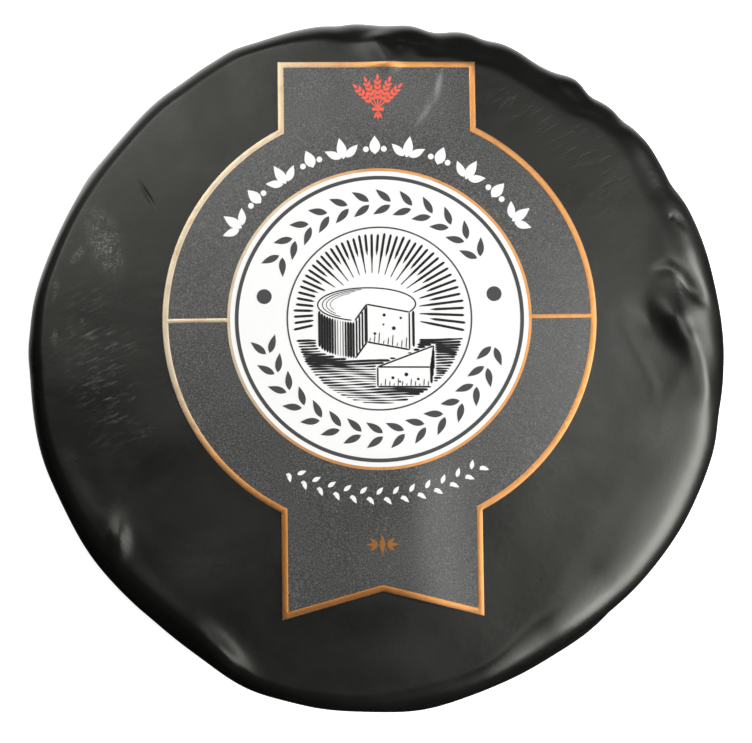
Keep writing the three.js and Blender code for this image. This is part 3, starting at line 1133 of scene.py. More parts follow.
@dataclass
class Rosette:
    """The die-cut label: its sizes, its print, and how it lies on the wax, in millimetres."""

    truckle: WaxedTruckle
    centre: Point = (0.15, 10.15)
    turn: float = 0.75
    ring_radius: float = 55.0
    tab_half_width: float = 25.3
    tab_top: float = 66.36
    tab_slant: float = 0.27
    tail_bottom: float = 75.6
    tail_slant: float = 0.22
    tail_notch: float = 68.9
    foil_width: float = 1.55
    crossbar_width: float = 1.05
    copper_ring_radius: float = 38.15
    copper_ring_width: float = 0.75
    dark_ring_radius: float = 36.1
    dark_ring_width: float = 0.95
    picture_radius: float = 23.3
    picture_rule: float = 0.4
    bullet_radius: float = 1.9
    bullet_centre: Point = (29.1, 5.9)
    paper: float = 0.16
    foil: float = 0.06
    ink: float = 0.05
    air: float = 0.03
    sink: float = 0.01
    foil_inset: float = 0.12
    roundel_overlap: float = 0.05
    emboss_edge: float = 0.22
    emboss_rise: float = 0.05
    cell: float = 1.5
    fine_x: Point = (4.0, 21.0)
    fine_y: Point = (45.0, 68.0)
    smooth_angle: float = 35.0
    slack: tuple[Fold, ...] = (
        # The crease in the paper of the tab
        Fold([(17.6, 77.5), (16.2, 70.5), (12.2, 64.2), (8.2, 58.6)], 1.0, 0.09),
        # The tail's slack paper, which stands off the wax along a soft ridge and a low broad swell
        Fold([(8.2, -20), (9.6, -40), (11.2, -58), (12.2, -78)], 8.5, 0.6, open_end=True),
        Fold([(-2, -20), (-1, -40), (1, -58), (2, -78)], 14.0, 0.45, open_end=True),
    )
    circle_points: int = 180

    def lay(self, obj: Object, lift: float) -> None:
        """Lay a flat piece of the label on the wax.

        Args:
            obj: The piece, flat, in metres, with the label's middle at the origin.
            lift: How far its underside is above the wax, in millimetres.
        """
        flat = [(vertex.co.x / MM, vertex.co.y / MM) for vertex in obj.data.vertices]
        for vertex, (x, y) in zip(obj.data.vertices, placed(flat, self.centre, self.turn)):
            height = self.truckle.top_height(x, y) + lift + sum(fold.at(x, y, 0.0) for fold in self.slack)
            vertex.co = Vector((x * MM, y * MM, height * MM + vertex.co.z)) + self.truckle.shift
        take(obj)
        bpy.ops.object.shade_smooth_by_angle(angle=math.radians(self.smooth_angle))

    def slab(self, low: Point, high: Point, thickness: float) -> Object:
        """A flat oblong solid between two corners.

        Args:
            low: Its low corner.
            high: Its high corner.
            thickness: How thick it is.

        Returns:
            The solid, in metres.
        """
        deselect_all()
        bpy.ops.mesh.primitive_cube_add(
            size=1,
            location=((low[0] + high[0]) / 2 * MM, (low[1] + high[1]) / 2 * MM, thickness / 2 * MM),
            scale=((high[0] - low[0]) * MM, (high[1] - low[1]) * MM, thickness * MM),
        )
        obj = bpy.context.object
        settle(obj)
        return obj

    def disc(self, radius: float, thickness: float) -> Object:
        """A flat round solid."""
        return drum(radius, thickness, self.circle_points)

    def blank(self, margin: float, thickness: float) -> Object:
        """The label's whole outline as a flat solid, moved in by a margin.

        Args:
            margin: How far inside the die line it stays.
            thickness: How thick it is.

        Returns:
            The ring's disc joined with its tab and its swallow-tailed ribbon.
        """
        half = self.tab_half_width - margin
        slope = (self.tail_bottom - self.tail_notch) / self.tab_half_width
        notch = self.tail_notch - margin * math.hypot(1, slope)
        bottom = notch + slope * half
        obj = self.disc(self.ring_radius - margin, thickness)
        tab = self.slab((-half, 0), (half, self.tab_top - margin), thickness)
        for vertex in tab.data.vertices:
            if vertex.co.y > 1 * MM:
                vertex.co.y -= math.copysign(self.tab_slant * MM, vertex.co.x)
        tail = self.slab((-half, -bottom), (half, 0), thickness)
        with editing(tail):
            select_all()
            bpy.ops.mesh.bisect(plane_co=(0, 0, 0), plane_no=(1, 0, 0))
            select_where(Pick.VERTICES, lambda c: abs(c[0].x) < 0.1 * MM and c[0].y < (1 - bottom) * MM)
            bpy.ops.transform.translate(value=(0, (bottom - notch) * MM, 0))
        for vertex in tail.data.vertices:
            if vertex.co.y < -1 * MM and abs(vertex.co.x) > 1 * MM:
                vertex.co.y += math.copysign(self.tail_slant * MM, vertex.co.x)
        combine(obj, tab, Combine.JOIN)
        combine(obj, tail, Combine.JOIN)
        return obj

    def clean(self, obj: Object) -> None:
        """Clear the flat faces of stray points and edges.

        Args:
            obj: The flat piece.
        """
        with editing(obj):
            select_all()
            bpy.ops.mesh.remove_doubles(threshold=WELD)
            bpy.ops.mesh.dissolve_limited(angle_limit=math.radians(0.5))

    def sheet(self) -> Object:
        """Cut the paper label.

        Returns:
            The label, laid on the wax.
        """
        obj = named(self.blank(0.0, self.paper), "label_paper")
        self.clean(obj)
        cut_into_cells(obj, self.cell)
        with editing(obj):
            # The cells round the crease in the tab are cut finer
            (left, right), (front, back) = self.fine_x, self.fine_y
            select_where(
                Pick.FACES, lambda c: all(left < p.x / MM < right and front < p.y / MM < back for p in c)
            )
            bpy.ops.mesh.subdivide(number_cuts=2)
        self.lay(obj, self.air)
        return obj

    def border(self) -> Object:
        """Stamp the foil border and the two bars that cross the ring.

        Returns:
            The border, laid on the paper.
        """
        obj = named(self.blank(self.foil_inset, self.foil), "foil_border")
        hole = self.blank(self.foil_width, self.foil * 3)
        hole.data.transform(Matrix.Translation((0, 0, -self.foil * MM)))
        combine(obj, hole, Combine.CUT)
        reach = self.ring_radius - self.foil_width / 2
        start = self.copper_ring_radius + self.copper_ring_width / 2
        half = self.crossbar_width / 2
        for low, high in (((-reach, -half), (-start, half)), ((start, -half), (reach, half))):
            combine(obj, self.slab(low, high, self.foil), Combine.JOIN)
        self.clean(obj)
        # A cell wider than the label cuts it along its middle lines alone
        cut_into_cells(obj, 1000.0)
        with editing(obj):
            select_where(Pick.FACES, lambda c: all(p.z > self.foil / 2 * MM for p in c))
            bpy.ops.mesh.inset(thickness=self.emboss_edge * MM, depth=self.emboss_rise * MM)
        cut_into_cells(obj, self.cell)
        self.lay(obj, self.print_lift())
        return obj

    def ring(self, name: str, radius: float, width: float, lift: float, thickness: float) -> Object:
        """Print one thin ring.

        Args:
            name: The piece's name.
            radius: The radius of its middle line.
            width: How wide it is.
            lift: Where its underside is.
            thickness: How thick it is.

        Returns:
            The ring.
        """
        obj = named(self.disc(radius + width / 2, thickness), name)
        with editing(obj):
            # The two ends are inset and bridged into a hole
            select_where(Pick.FACES, lambda c: len(c) > 4)
            bpy.ops.mesh.inset(thickness=width * MM, depth=0, use_individual=True)
            bpy.ops.mesh.bridge_edge_loops()
            select_all()
            bpy.ops.mesh.normals_make_consistent(inside=False)
        self.lay(obj, lift)
        return obj

    def roundel(self) -> Object:
        """Print the white roundel.

        Returns:
            The roundel, laid on the paper.
        """
        radius = self.copper_ring_radius - self.copper_ring_width / 2 + self.roundel_overlap
        obj = named(self.disc(radius, self.ink), "white_roundel_print")
        self.clean(obj)
        cut_into_cells(obj, self.cell * 2)
        self.lay(obj, self.print_lift())
        return obj

    def print_lift(self) -> float:
        """The height above the wax of print on bare paper."""
        return self.air + self.paper - self.sink

    def overprint_lift(self) -> float:
        """The height above the wax of print on the white roundel."""
        return self.print_lift() + self.ink - self.sink

    def plate(self, name: str, loops: Iterable[Loop], lift: float, cell: float = 4.0) -> Object:
        """Print flat shapes in one colour.

        Args:
            name: The piece's name.
            loops: Closed outlines, in millimetres.
            lift: Where the print's underside is above the wax.
            cell: How finely it is cut to follow the wax.

        Returns:
            The print, a set of thin solids.
        """
        deselect_all()
        for loop in loops:
            curve = bpy.data.curves.new(name, "CURVE")
            curve.dimensions = "2D"
            curve.fill_mode = "BOTH"
            curve.extrude = self.ink / 2 * MM
            spline = curve.splines.new("POLY")
            spline.points.add(len(loop) - 1)
            for point, (x, y) in zip(spline.points, loop):
                point.co = (x * MM, y * MM, 0.0, 1.0)
            spline.use_cyclic_u = True
            shape = bpy.data.objects.new(name, curve)
            bpy.context.collection.objects.link(shape)
            shape.select_set(True)
            bpy.context.view_layer.objects.active = shape
        bpy.ops.object.convert(target="MESH")
        pieces = list(bpy.context.selected_objects)
        bpy.context.view_layer.objects.active = pieces[0]
        if len(pieces) > 1:
            bpy.ops.object.join()
        obj = named(pieces[0], name)
        obj.data.transform(Matrix.Translation((0, 0, self.ink / 2 * MM)))
        with editing(obj):
            select_all()
            bpy.ops.mesh.remove_doubles(threshold=WELD)
            bpy.ops.mesh.normals_make_consistent(inside=False)
        cut_into_cells(obj, cell)
        self.lay(obj, lift)
        return obj


# Motifs of the print


def leaf(length: float, width: float, points: int = 8) -> Loop:
    """A pointed leaf that starts at the origin and grows along +X."""
    steps = [i / points for i in range(points + 1)]
    upper = [(length * t, width / 2 * math.sin(math.pi * t**0.8)) for t in steps]
    return upper + [(x, -y) for x, y in reversed(upper[1:-1])]


def dot(radius: float, at: Point = (0.0, 0.0), points: int = 16) -> Loop:
    """A round dot."""
    return [around(at, radius, i * 360 / points) for i in range(points)]


def stroke(path: list[Point], widths: list[float]) -> Loop:
    """A pen stroke along a path.

    Args:
        path: The middle line.
        widths: The stroke's width at each point of the path.

    Returns:
        The stroke's outline.
    """
    left, right = [], []
    for i, (x, y) in enumerate(path):
        before, after = path[max(0, i - 1)], path[min(len(path) - 1, i + 1)]
        along = Vector((after[0] - before[0], after[1] - before[1])).normalized()
        half = widths[i] / 2
        left.append((x - along.y * half, y + along.x * half))
        right.append((x + along.y * half, y - along.x * half))
    return left + right[::-1]


@dataclass
class Print:
    """The printed motifs of the label, in millimetres from the middle of its ring.

    A leaf is given by its length and its width. Headings, leans and steps along a ring are in degrees.
    """

    upper_radius: float = 44.6
    upper_start: float = 145.8
    upper_end: float = 35.8
    upper_items: int = 11
    sprig_leaf: Point = (5.6, 2.5)
    sprig_inset: float = 2.7
    side_leaf: Point = (4.5, 2.0)
    side_inset: float = 2.4
    side_step: float = 0.9
    side_lean: float = 54.0
    lozenge: Point = (4.8, 2.8)
    lozenge_inset: float = 2.4
    berry: float = 0.75
    berry_inset: float = 1.0
    berry_step: float = 3.0

    lower_radius: float = 45.0
    lower_start: float = -121.0
    lower_end: float = -57.0
    lower_items: int = 25
    vine_leaf: Point = (2.5, 1.1)
    vine_lean: float = 50.0
    vine_sway: float = 0.3
    bud: float = 0.34
    bud_offset: float = 0.9

    wreath_radius: float = 29.6
    wreath_branches: tuple[tuple[float, float, int], ...] = (
        # Where each starts and ends, and how many pairs of leaves it has
        (31, 147, 12),
        (-15, -163, 15),
    )
    wreath_leaf: Point = (5.0, 1.75)
    wreath_lean: float = 34.0
    wreath_gap: float = 0.45

    sheaf_foot: Point = (0.3, 54.0)
    ear_leans: tuple[float, ...] = (-44, -22, 0, 22, 44)
    grain: Point = (1.75, 0.8)
    grain_rows: int = 4
    grain_start: float = 2.5
    grain_step: float = 1.25
    grain_lean: float = 33.0
    tip: Point = (1.9, 0.8)
    tip_start: float = 7.4
    stalk_length: float = 2.8
    stalk_widths: Point = (0.3, 0.34)
    band: tuple[Point, ...] = ((-1.5, -0.5), (1.5, -0.5), (1.5, 0.3), (-1.5, 0.3))
    straw: Point = (2.3, 0.7)
    straw_start: float = 0.6
    straw_leans: tuple[float, ...] = (-28, 0, 28)

    diamond_centre: Point = (0.0, -57.2)
    diamond: tuple[Point, ...] = ((0, 2.6), (0.8, 0), (0, -2.6), (-0.8, 0))
    diamond_leaves: tuple[Point, ...] = (
        # How far each leans, and its length
        (-38, 2.6),
        (0, 3.0),
        (38, 2.6),
    )
    diamond_leaf_width: float = 0.9
    diamond_gap: float = 1.1

    def upper_garland(self) -> Iterator[Loop]:
        """White sprigs of three leaves, with lozenges between, along the ring's upper half.

        Returns:
            The outlines of its shapes.
        """
        for i, heading in enumerate(spaced(self.upper_start, self.upper_end, self.upper_items)):
            if i % 2 == 0:
                base = polar(self.upper_radius - self.sprig_inset, heading)
                yield placed(leaf(*self.sprig_leaf), base, heading)
                for side in (-1, 1):
                    base = polar(self.upper_radius - self.side_inset, heading + side * self.side_step)
                    yield placed(leaf(*self.side_leaf), base, heading + side * self.side_lean)
            else:
                base = polar(self.upper_radius - self.lozenge_inset, heading)
                yield placed(leaf(*self.lozenge, 6), base, heading)
                for side in (-1, 1):
                    beside = heading + side * self.berry_step
                    yield dot(self.berry, polar(self.upper_radius - self.berry_inset, beside))

    def lower_garland(self) -> Iterator[Loop]:
        """A white running vine of small leaves and buds along the ring's lower half.

        Returns:
            The outlines of its shapes.
        """
        for i, heading in enumerate(spaced(self.lower_start, self.lower_end, self.lower_items)):
            side = 1 if i % 2 else -1
            base = polar(self.lower_radius - side * self.vine_sway, heading)
            yield placed(leaf(*self.vine_leaf, 6), base, heading + 90 + side * self.vine_lean)
            if i % 2 == 0:
                yield dot(self.bud, polar(self.lower_radius + self.bud_offset, heading))

    def wreath(self) -> Iterator[Loop]:
        """Two dark branches of paired leaves in the roundel, above and below the bullets.

        Returns:
            The outlines of its shapes.
        """
        for start, end, count in self.wreath_branches:
            ahead = 90 if end > start else -90
            for heading in spaced(start, end, count):
                for side in (-1, 1):
                    base = polar(self.wreath_radius + side * self.wreath_gap, heading)
                    turn = heading + ahead - side * ahead / 90 * self.wreath_lean
                    yield placed(leaf(*self.wreath_leaf), base, turn)

    def red_sheaf(self) -> Iterator[Loop]:
        """A red sheaf of five ears on the tab, bound by a band.

        Returns:
            The outlines of its shapes.
        """
        foot = self.sheaf_foot
        for lean in self.ear_leans:
            heading = 90 - lean
            for row in range(self.grain_rows):
                base = around(foot, self.grain_start + row * self.grain_step, heading)
                for side in (-1, 1):
                    yield placed(leaf(*self.grain, 5), base, heading + side * self.grain_lean)
            yield placed(leaf(*self.tip, 5), around(foot, self.tip_start, heading), heading)
            yield stroke([foot, around(foot, self.stalk_length, heading)], list(self.stalk_widths))
        yield placed(list(self.band), foot, 0)
        for lean in self.straw_leans:
            yield placed(leaf(*self.straw, 5), below(foot, self.straw_start), -90 + lean)

    def copper_lozenge(self) -> Iterator[Loop]:
        """A small copper ornament on the tail: a diamond with three leaves at either side.

        Returns:
            The outlines of its shapes.
        """
        x, y = self.diamond_centre
        yield placed(list(self.diamond), (x, y), 0)
        for side in (-1, 1):
            for lean, length in self.diamond_leaves:
                base = (x + side * self.diamond_gap, y)
                yield placed(leaf(length, self.diamond_leaf_width, 6), base, 90 - side * 90 + lean)


@dataclass
class Engraving:
    """The roundel's picture: a cut wheel of cheese and its wedge on a board, before the sun.

    Sizes are in millimetres from the roundel's middle.
    """

    radius: float = 21.9
    pitch: float = 0.66
    weight: float = 1.22
    wheel_centre: Point = (-3.2, 3.6)
    wheel_radius: float = 12.4
    squash: float = 0.34
    wheel_height: float = 9.6
    cut_start: float = -104.0
    cut_end: float = -30.0
    wedge_tip: Point = (-0.6, -12.4)
    wedge_back: Point = (13.6, -7.2)
    wedge_front: Point = (12.8, -12.6)
    wedge_height: float = 5.0
    board_edge: float = -5.6
    faint: float = 0.07
    step: float = 0.45
    gap: float = 0.3
    fullest: float = 0.97
    taper: float = 0.4
    shades: tuple[tuple[float, ...], ...] = (
        # The shades on the board: how dark each is, its middle and its half sizes
        (0.75, 9.5, -6.8, 8, 2.2),
        (0.7, -6, -10.4, 11, 1.6),
        (0.7, 8, -18.2, 9, 1.3),
    )

    def rim_point(self, turn: float) -> Point:
        """A point of the wheel's upper rim."""
        return around(self.wheel_centre, self.wheel_radius, turn, self.squash)

    def in_wheel(self, x: float, y: float, margin: float) -> bool:
        """Whether a point is on the drawn wheel or within a margin of it.

        Args:
            x: The point's place across.
            y: The point's place up.
            margin: How far outside it still counts.

        Returns:
            Whether it is.
        """
        reach = (x - self.wheel_centre[0]) / (self.wheel_radius + margin)
        if abs(reach) >= 1:
            return False
        half = math.sqrt(1 - reach * reach) * (self.wheel_radius + margin) * self.squash
        offset = y - self.wheel_centre[1]
        return -half - self.wheel_height - margin < offset < half + margin

    def wedge_outline(self) -> Loop:
        """The outline of the drawn wedge, front edge first."""
        feet = (below(top, self.wedge_height) for top in (self.wedge_tip, self.wedge_front, self.wedge_back))
        return [*feet, self.wedge_back, self.wedge_tip]

    def in_wedge(self, x: float, y: float, margin: float) -> bool:
        """Whether a point is on the drawn wedge or within a margin of it.

        Args:
            x: The point's place across.
            y: The point's place up.
            margin: How far outside it still counts.

        Returns:
            Whether it is.
        """
        corners = self.wedge_outline()
        for a, b in zip(corners, corners[1:] + corners[:1]):
            if ((b[0] - a[0]) * (y - a[1]) - (b[1] - a[1]) * (x - a[0])) / math.dist(a, b) < -margin:
                return False
        return True

    def cut(self, path: list[Point], tone: Callable[[float, float], float]) -> list[Loop]:
        """Engrave along a path, with a line as thick as the tone is dark.

        Args:
            path: The line's middle.
            tone: The darkness at a point, from 0 to 1.

        Returns:
            The strokes of the line, which stops where the tone is light.
        """
        points: list[Point] = []
        for a, b in zip(path, path[1:]):
            count = max(1, round(math.dist(a, b) / self.step))
            points += [between(a, b, i / count) for i in range(count)]
        loops: list[Loop] = []
        run: list[Point] = []
        widths: list[float] = []
        # The last point is far outside the picture, so that it ends the last stroke
        for point in [*points, path[-1], (1000.0, 1000.0)]:
            dark = tone(*point) if math.hypot(*point) < self.radius else 0.0
            if dark > self.faint:
                run.append(point)
                widths.append(min(self.fullest, dark * self.weight) * self.pitch)
                continue
            if len(run) > 2:
                widths[0] *= self.taper
                widths[-1] *= self.taper
                loops.append(stroke(run, widths))
            run, widths = [], []
        return loops

    def line(self, a: Point, b: Point, dark: float, behind_wedge: bool = False) -> list[Loop]:
        """Engrave a line of one darkness. One behind the wedge stops short of it."""
        return self.cut([a, b], lambda x, y: 0.0 if behind_wedge and self.in_wedge(x, y, self.gap) else dark)

    def edges(self, *lines: tuple[Point, Point, float], behind_wedge: bool = False) -> Iterator[Loop]:
        """Engrave edges, each given by its two ends and its width."""
        return chain(*(self.line(a, b, width / self.pitch, behind_wedge) for a, b, width in lines))

    def eyes(self, *holes: tuple[float, float, float]) -> list[Loop]:
        """The small holes in a cut face, each given by its place and its radius."""
        return [dot(size, (x, y), 12) for x, y, size in holes]

    def sky(self) -> Iterator[Loop]:
        """Rays that spread from behind the wheel.

        Returns:
            The outlines of its strokes.
        """
        middle = (self.wheel_centre[0] + 1.5, self.wheel_centre[1] - 2.0)

        def tone(x: float, y: float) -> float:
            """How dark a ray is: every other one starts further out.

            Args:
                x: The point's place across.
                y: The point's place up.

            Returns:
                The darkness at a point, from 0 to 1.
            """
            if self.in_wheel(x, y, 0.8) or y < self.board_edge + 0.5:
                return 0.0
            far = math.hypot(x - middle[0], y - middle[1])
            return (0.3 + smoothstep(far, 11, 19)) * (1.0 if long_ray else smoothstep(far, 13.5, 17))

        for i, heading in enumerate(spaced(-12, 192, 45)):
            long_ray = i % 2 == 0
            yield from self.cut([around(middle, r, heading) for r in (10.0, 30.0)], tone)

    def board(self) -> Iterator[Loop]:
        """The hatched board below, darker in the wheel's and the wedge's shade.

        Returns:
            The outlines of its strokes.
        """

        def tone(x: float, y: float) -> float:
            """How dark the board is: its grain and the shades on it.

            Args:
                x: The point's place across.
                y: The point's place up.

            Returns:
                The darkness at a point, from 0 to 1.
            """
            if self.in_wheel(x, y, self.gap) or self.in_wedge(x, y, self.gap):
                return 0.0
            shade = 0.0
            for dark, at_x, at_y, wide, high in self.shades:
                shade += dark * math.exp(-(((x - at_x) / wide) ** 2) - ((y - at_y) / high) ** 2)
            grain = 0.16 * math.sin(x * 0.9 + y * 2.3) + 0.12 * math.sin(x * 0.37 - y * 5.1)
            return 0.36 + shade + grain + 0.28 * smoothstep(abs(x), 6, 20)

        y = self.board_edge
        while y > -self.radius:
            sway = [(x, y + 0.14 * math.sin(x * 0.31 + y)) for x in range(-22, 23, 2)]
            yield from self.cut(sway, tone)
            y -= self.pitch

    def rind(self) -> Iterator[Loop]:
        """The wheel's dark side, in upright lines that thin out where it shines.

        Returns:
            The outlines of its strokes.
        """
        cx, cy = self.wheel_centre
        left_end = self.rim_point(self.cut_start)[0]
        right_start = self.rim_point(self.cut_end)[0]

        def tone(x: float, y: float) -> float:
            """How dark the wheel's side is: two upright shines lighten it.

            Args:
                x: The point's place across.
                y: The point's place up.

            Returns:
                The darkness at a point, from 0 to 1.
            """
            if self.in_wedge(x, y, self.gap):
                return 0.0
            reach = (x - cx) / self.wheel_radius
            shine = 0.8 * math.exp(-(((reach + 0.55) / 0.13) ** 2))
            return 0.93 - shine - 0.35 * math.exp(-(((reach + 0.2) / 0.1) ** 2))

        x = cx - self.wheel_radius + 0.4
        while x < cx + self.wheel_radius - 0.2:
            half = math.sqrt(1 - ((x - cx) / self.wheel_radius) ** 2) * self.wheel_radius * self.squash
            if x < left_end - 0.3 or x > right_start + 0.4:
                yield from self.cut([(x, cy - half - 0.5), (x, cy - half - self.wheel_height)], tone)
            x += self.pitch

    def paste(self) -> Iterator[Loop]:
        """The pale cut faces: light hatching, a few eyes, and their edges.

        Returns:
            The outlines of its strokes.
        """
        top, drop = self.wheel_centre, self.wheel_height
        left, right = self.rim_point(self.cut_start), self.rim_point(self.cut_end)
        # The shaded face of the cut, which is seen at a slant
        for i in range(4):
            x, y = between(left, top, (i + 0.5) / 4)
            yield from self.line((x, y - 0.3), (x, y - drop + 0.2), 0.55, True)
        # The open face, with short hatching along its foot and a few eyes
        for i in range(9):
            x, y = below(between(top, right, (i + 0.6) / 9.4), drop)
            yield from self.line((x, y + 0.2), (x + 0.2, y + 1.2 + 0.9 * (i % 3)), 0.3, True)
        yield from self.eyes((1.2, 0.8, 0.42), (3.6, -2.6, 0.5), (-1.2, -3.9, 0.36), (5.4, 0.0, 0.32))
        yield from self.eyes((1.0, -1.6, 0.26))
        core, left_foot, right_foot = (below(point, drop) for point in (top, left, right))
        yield from self.edges(
            (top, left, 0.32),
            (top, right, 0.32),
            (below(top, 0.2), core, 0.32),
            (core, right_foot, 0.34),
            (right, right_foot, 0.3),
            (left_foot, core, 0.34),
            behind_wedge=True,
        )
        # The upper face: its rim, and a little shade at the back left
        rim = [self.rim_point(t) for t in range(int(self.cut_end), int(self.cut_start) + 361, 6)]
        yield from self.cut(rim, lambda x, y: 0.42)
        for i in range(3):
            turns = range(96 + 10 * i, 236 - 12 * i, 6)
            sweep = [around(top, self.wheel_radius - 1.2 - 1.0 * i, t, self.squash) for t in turns]
            yield from self.cut(sweep, lambda x, y: 0.26 - 0.05 * i)

    def wedge(self) -> Iterator[Loop]:
        """The wedge in front: a dark rind, a pale cut face with eyes, and its edges.

        Returns:
            The outlines of its strokes.
        """
        tip, back, front, drop = self.wedge_tip, self.wedge_back, self.wedge_front, self.wedge_height
        for i in range(3):
            upper = between(front, back, (i + 0.5) / 3)
            yield from self.line(upper, below(upper, drop), 0.95)
        for i in range(12):
            x, y = below(between(tip, front, (i + 0.7) / 12.4), drop)
            yield from self.line((x, y + 0.15), (x + 0.15, y + 0.9 + 0.6 * ((i * 2) % 3)), 0.3)
        yield from self.eyes((3.2, -15.2, 0.4), (6.6, -14.4, 0.5), (9.6, -15.6, 0.34), (5.0, -16.2, 0.26))
        yield from self.edges(
            (tip, front, 0.32),
            (tip, back, 0.32),
            (front, back, 0.3),
            (below(tip, 0.1), below(tip, drop), 0.32),
            (below(tip, drop), below(front, drop), 0.36),
        )

    def everything(self) -> Iterator[Loop]:
        """All strokes of the picture."""
        return chain(self.sky(), self.board(), self.rind(), self.paste(), self.wedge())


# The studio


@dataclass(frozen=True)
class Glow:
    """A soft glow of the surroundings toward one direction."""

    toward: tuple[float, float, float]
    low: float
    high: float
    power: float


@dataclass(frozen=True)
class Panel:
    """A soft panel of light, in millimetres: its place, what it points at, and its brightness."""

    name: str
    place: tuple[float, float, float]
    aim: tuple[float, float, float]
    size: Point
    radiance: float


@dataclass
class Studio:
    """Floor, light and camera. Lengths are in millimetres, angles in degrees."""

    floor_size: float = 6000.0
    floor_drop: float = 0.2
    floor_tone: Colour = (0.93, 0.93, 0.93)
    floor_glow: float = 0.75
    dim: float = 0.045
    horizon: Point = (-0.05, 0.3)
    glows: tuple[Glow, ...] = (
        Glow((0.94, -0.26, 0.26), 0.6, 1.0, 4.2),
        Glow((-0.62, 0.77, 0.16), 0.78, 1.0, 0.6),
    )
    bounce: Glow = Glow((-0.2, 0.77, -0.6), 0.55, 1.0, 1.9)
    panels: tuple[Panel, ...] = (
        Panel("key_softbox", (870, -170, 250), (0, 0, 60), (1180, 420), 6.3),
        Panel("overhead_right", (270, -30, 560), (270, -30, 0), (400, 300), 1.65),
        Panel("overhead_core", (212, 58, 548), (212, 58, 0), (275, 122), 2.15),
        Panel("overhead_upper", (240, 230, 572), (240, 230, 0), (380, 200), 0.35),
        Panel("overhead_back_left", (-245, 262, 560), (-245, 262, 0), (420, 310), 2.6),
        Panel("overhead_back", (-60, 420, 620), (-60, 420, 0), (560, 300), 0.5),
    )
    elevation: float = 83.5
    distance: float = 680.0
    face_height: float = 78.0
    aim: Point = (-0.85, 5.02)
    lens: float = 128.89
    sensor: float = 36.0

    def floor(self) -> None:
        """Lay a plain pale floor, which the wax doesn't mirror."""
        deselect_all()
        bpy.ops.mesh.primitive_plane_add(size=self.floor_size * MM, location=(0, 0, -self.floor_drop * MM))
        obj = bpy.context.object
        obj.name = "studio_floor"
        settle(obj)
        material = bpy.data.materials.new("studio_floor")
        material.use_nodes = True
        shader = next(n for n in material.node_tree.nodes if n.type == "BSDF_PRINCIPLED")
        shader.inputs["Base Color"].default_value = (*self.floor_tone, 1)
        shader.inputs["Roughness"].default_value = 0.9
        shader.inputs["Emission Color"].default_value = (1, 1, 1, 1)
        shader.inputs["Emission Strength"].default_value = self.floor_glow
        obj.data.materials.append(material)
        obj.visible_glossy = False

    def sky(self) -> None:
        """Surround the scene with soft light: bright at the right, weak at the back left.

        Below the horizon there is only what the floor throws back from behind.
        """
        world = bpy.data.worlds.new("studio")
        bpy.context.scene.world = world
        world.use_nodes = True
        bench = Nodes(world.node_tree)
        background = next(n for n in world.node_tree.nodes if n.type == "BACKGROUND")
        direction = bench.add("TexCoord").outputs["Generated"]

        def shine(glow: Glow) -> NodeSocket:
            """The light of one glow.

            Args:
                glow: The glow.

            Returns:
                Its share of the light in a direction.
            """
            facing = bench.add("VectorMath", operation="DOT_PRODUCT")
            bench.feed(facing.inputs[0], direction)
            bench.feed(facing.inputs[1], Vector(glow.toward).normalized())
            return bench.times(bench.ramp(facing.outputs["Value"], glow.low, glow.high), glow.power)

        light = reduce(bench.plus, [shine(glow) for glow in self.glows], self.dim)
        height = bench.add("SeparateXYZ", Vector=direction).outputs["Z"]
        light = bench.times(light, bench.ramp(height, *self.horizon))
        bench.feed(background.inputs["Strength"], bench.plus(light, shine(self.bounce)))
        background.inputs["Color"].default_value = (1, 1, 1, 1)

    def hang(self, panel: Panel) -> None:
        """Hang a soft panel of light.

        Args:
            panel: The panel.
        """
        width, length = panel.size[0] * MM, panel.size[1] * MM
        light = bpy.data.lights.new(panel.name, "AREA")
        light.shape = "RECTANGLE"
        light.size, light.size_y = width, length
        light.energy = panel.radiance * math.pi * width * length
        obj = bpy.data.objects.new(panel.name, light)
        bpy.context.collection.objects.link(obj)
        obj.location = Vector(panel.place) * MM
        obj.rotation_euler = (Vector(panel.aim) - Vector(panel.place)).to_track_quat("-Z", "Y").to_euler()
        obj.visible_camera = False

    def camera(self) -> None:
        """Set the camera at the photograph's viewing angle."""
        lean = math.radians(self.elevation)
        back = Vector((0, -math.cos(lean), math.sin(lean)))
        up = Vector((0, math.sin(lean), math.cos(lean)))
        right = Vector((1, 0, 0))
        place = back * (self.distance + self.face_height * math.sin(lean))
        place += right * self.aim[0] + up * self.aim[1]
        data = bpy.data.cameras.new("photo_camera")
        data.lens = self.lens
        data.sensor_width = self.sensor
        data.clip_start = 0.01
        obj = bpy.data.objects.new("photo_camera", data)
        bpy.context.collection.objects.link(obj)
        obj.matrix_world = Matrix.Translation(place * MM) @ Matrix((right, up, back)).transposed().to_4x4()
        bpy.context.scene.camera = obj

    def build(self) -> None:
        """Set up the whole studio."""
        self.floor()
        self.sky()
        for panel in self.panels:
            self.hang(panel)
        self.camera()
        view = bpy.context.scene.view_settings
        view.view_transform = "Standard"
        view.look = "None"


# Putting it together


def dress(obj: Object, material: Material, slot: str, *nodes: str) -> None:
    """Give a piece its finish and its place in the model.

    Args:
        obj: The piece.
        material: Its finish.
        slot: The material slot of the record that it stands for; it is not used.
        nodes: The CAD nodes that it replaces.
    """
    obj.data.materials.clear()
    obj.data.materials.append(material)
    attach(obj, ROOT)
    if nodes:
        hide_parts(*nodes)
    LOG.info("%s: %d vertices, %s", obj.name, len(obj.data.vertices), material.name)


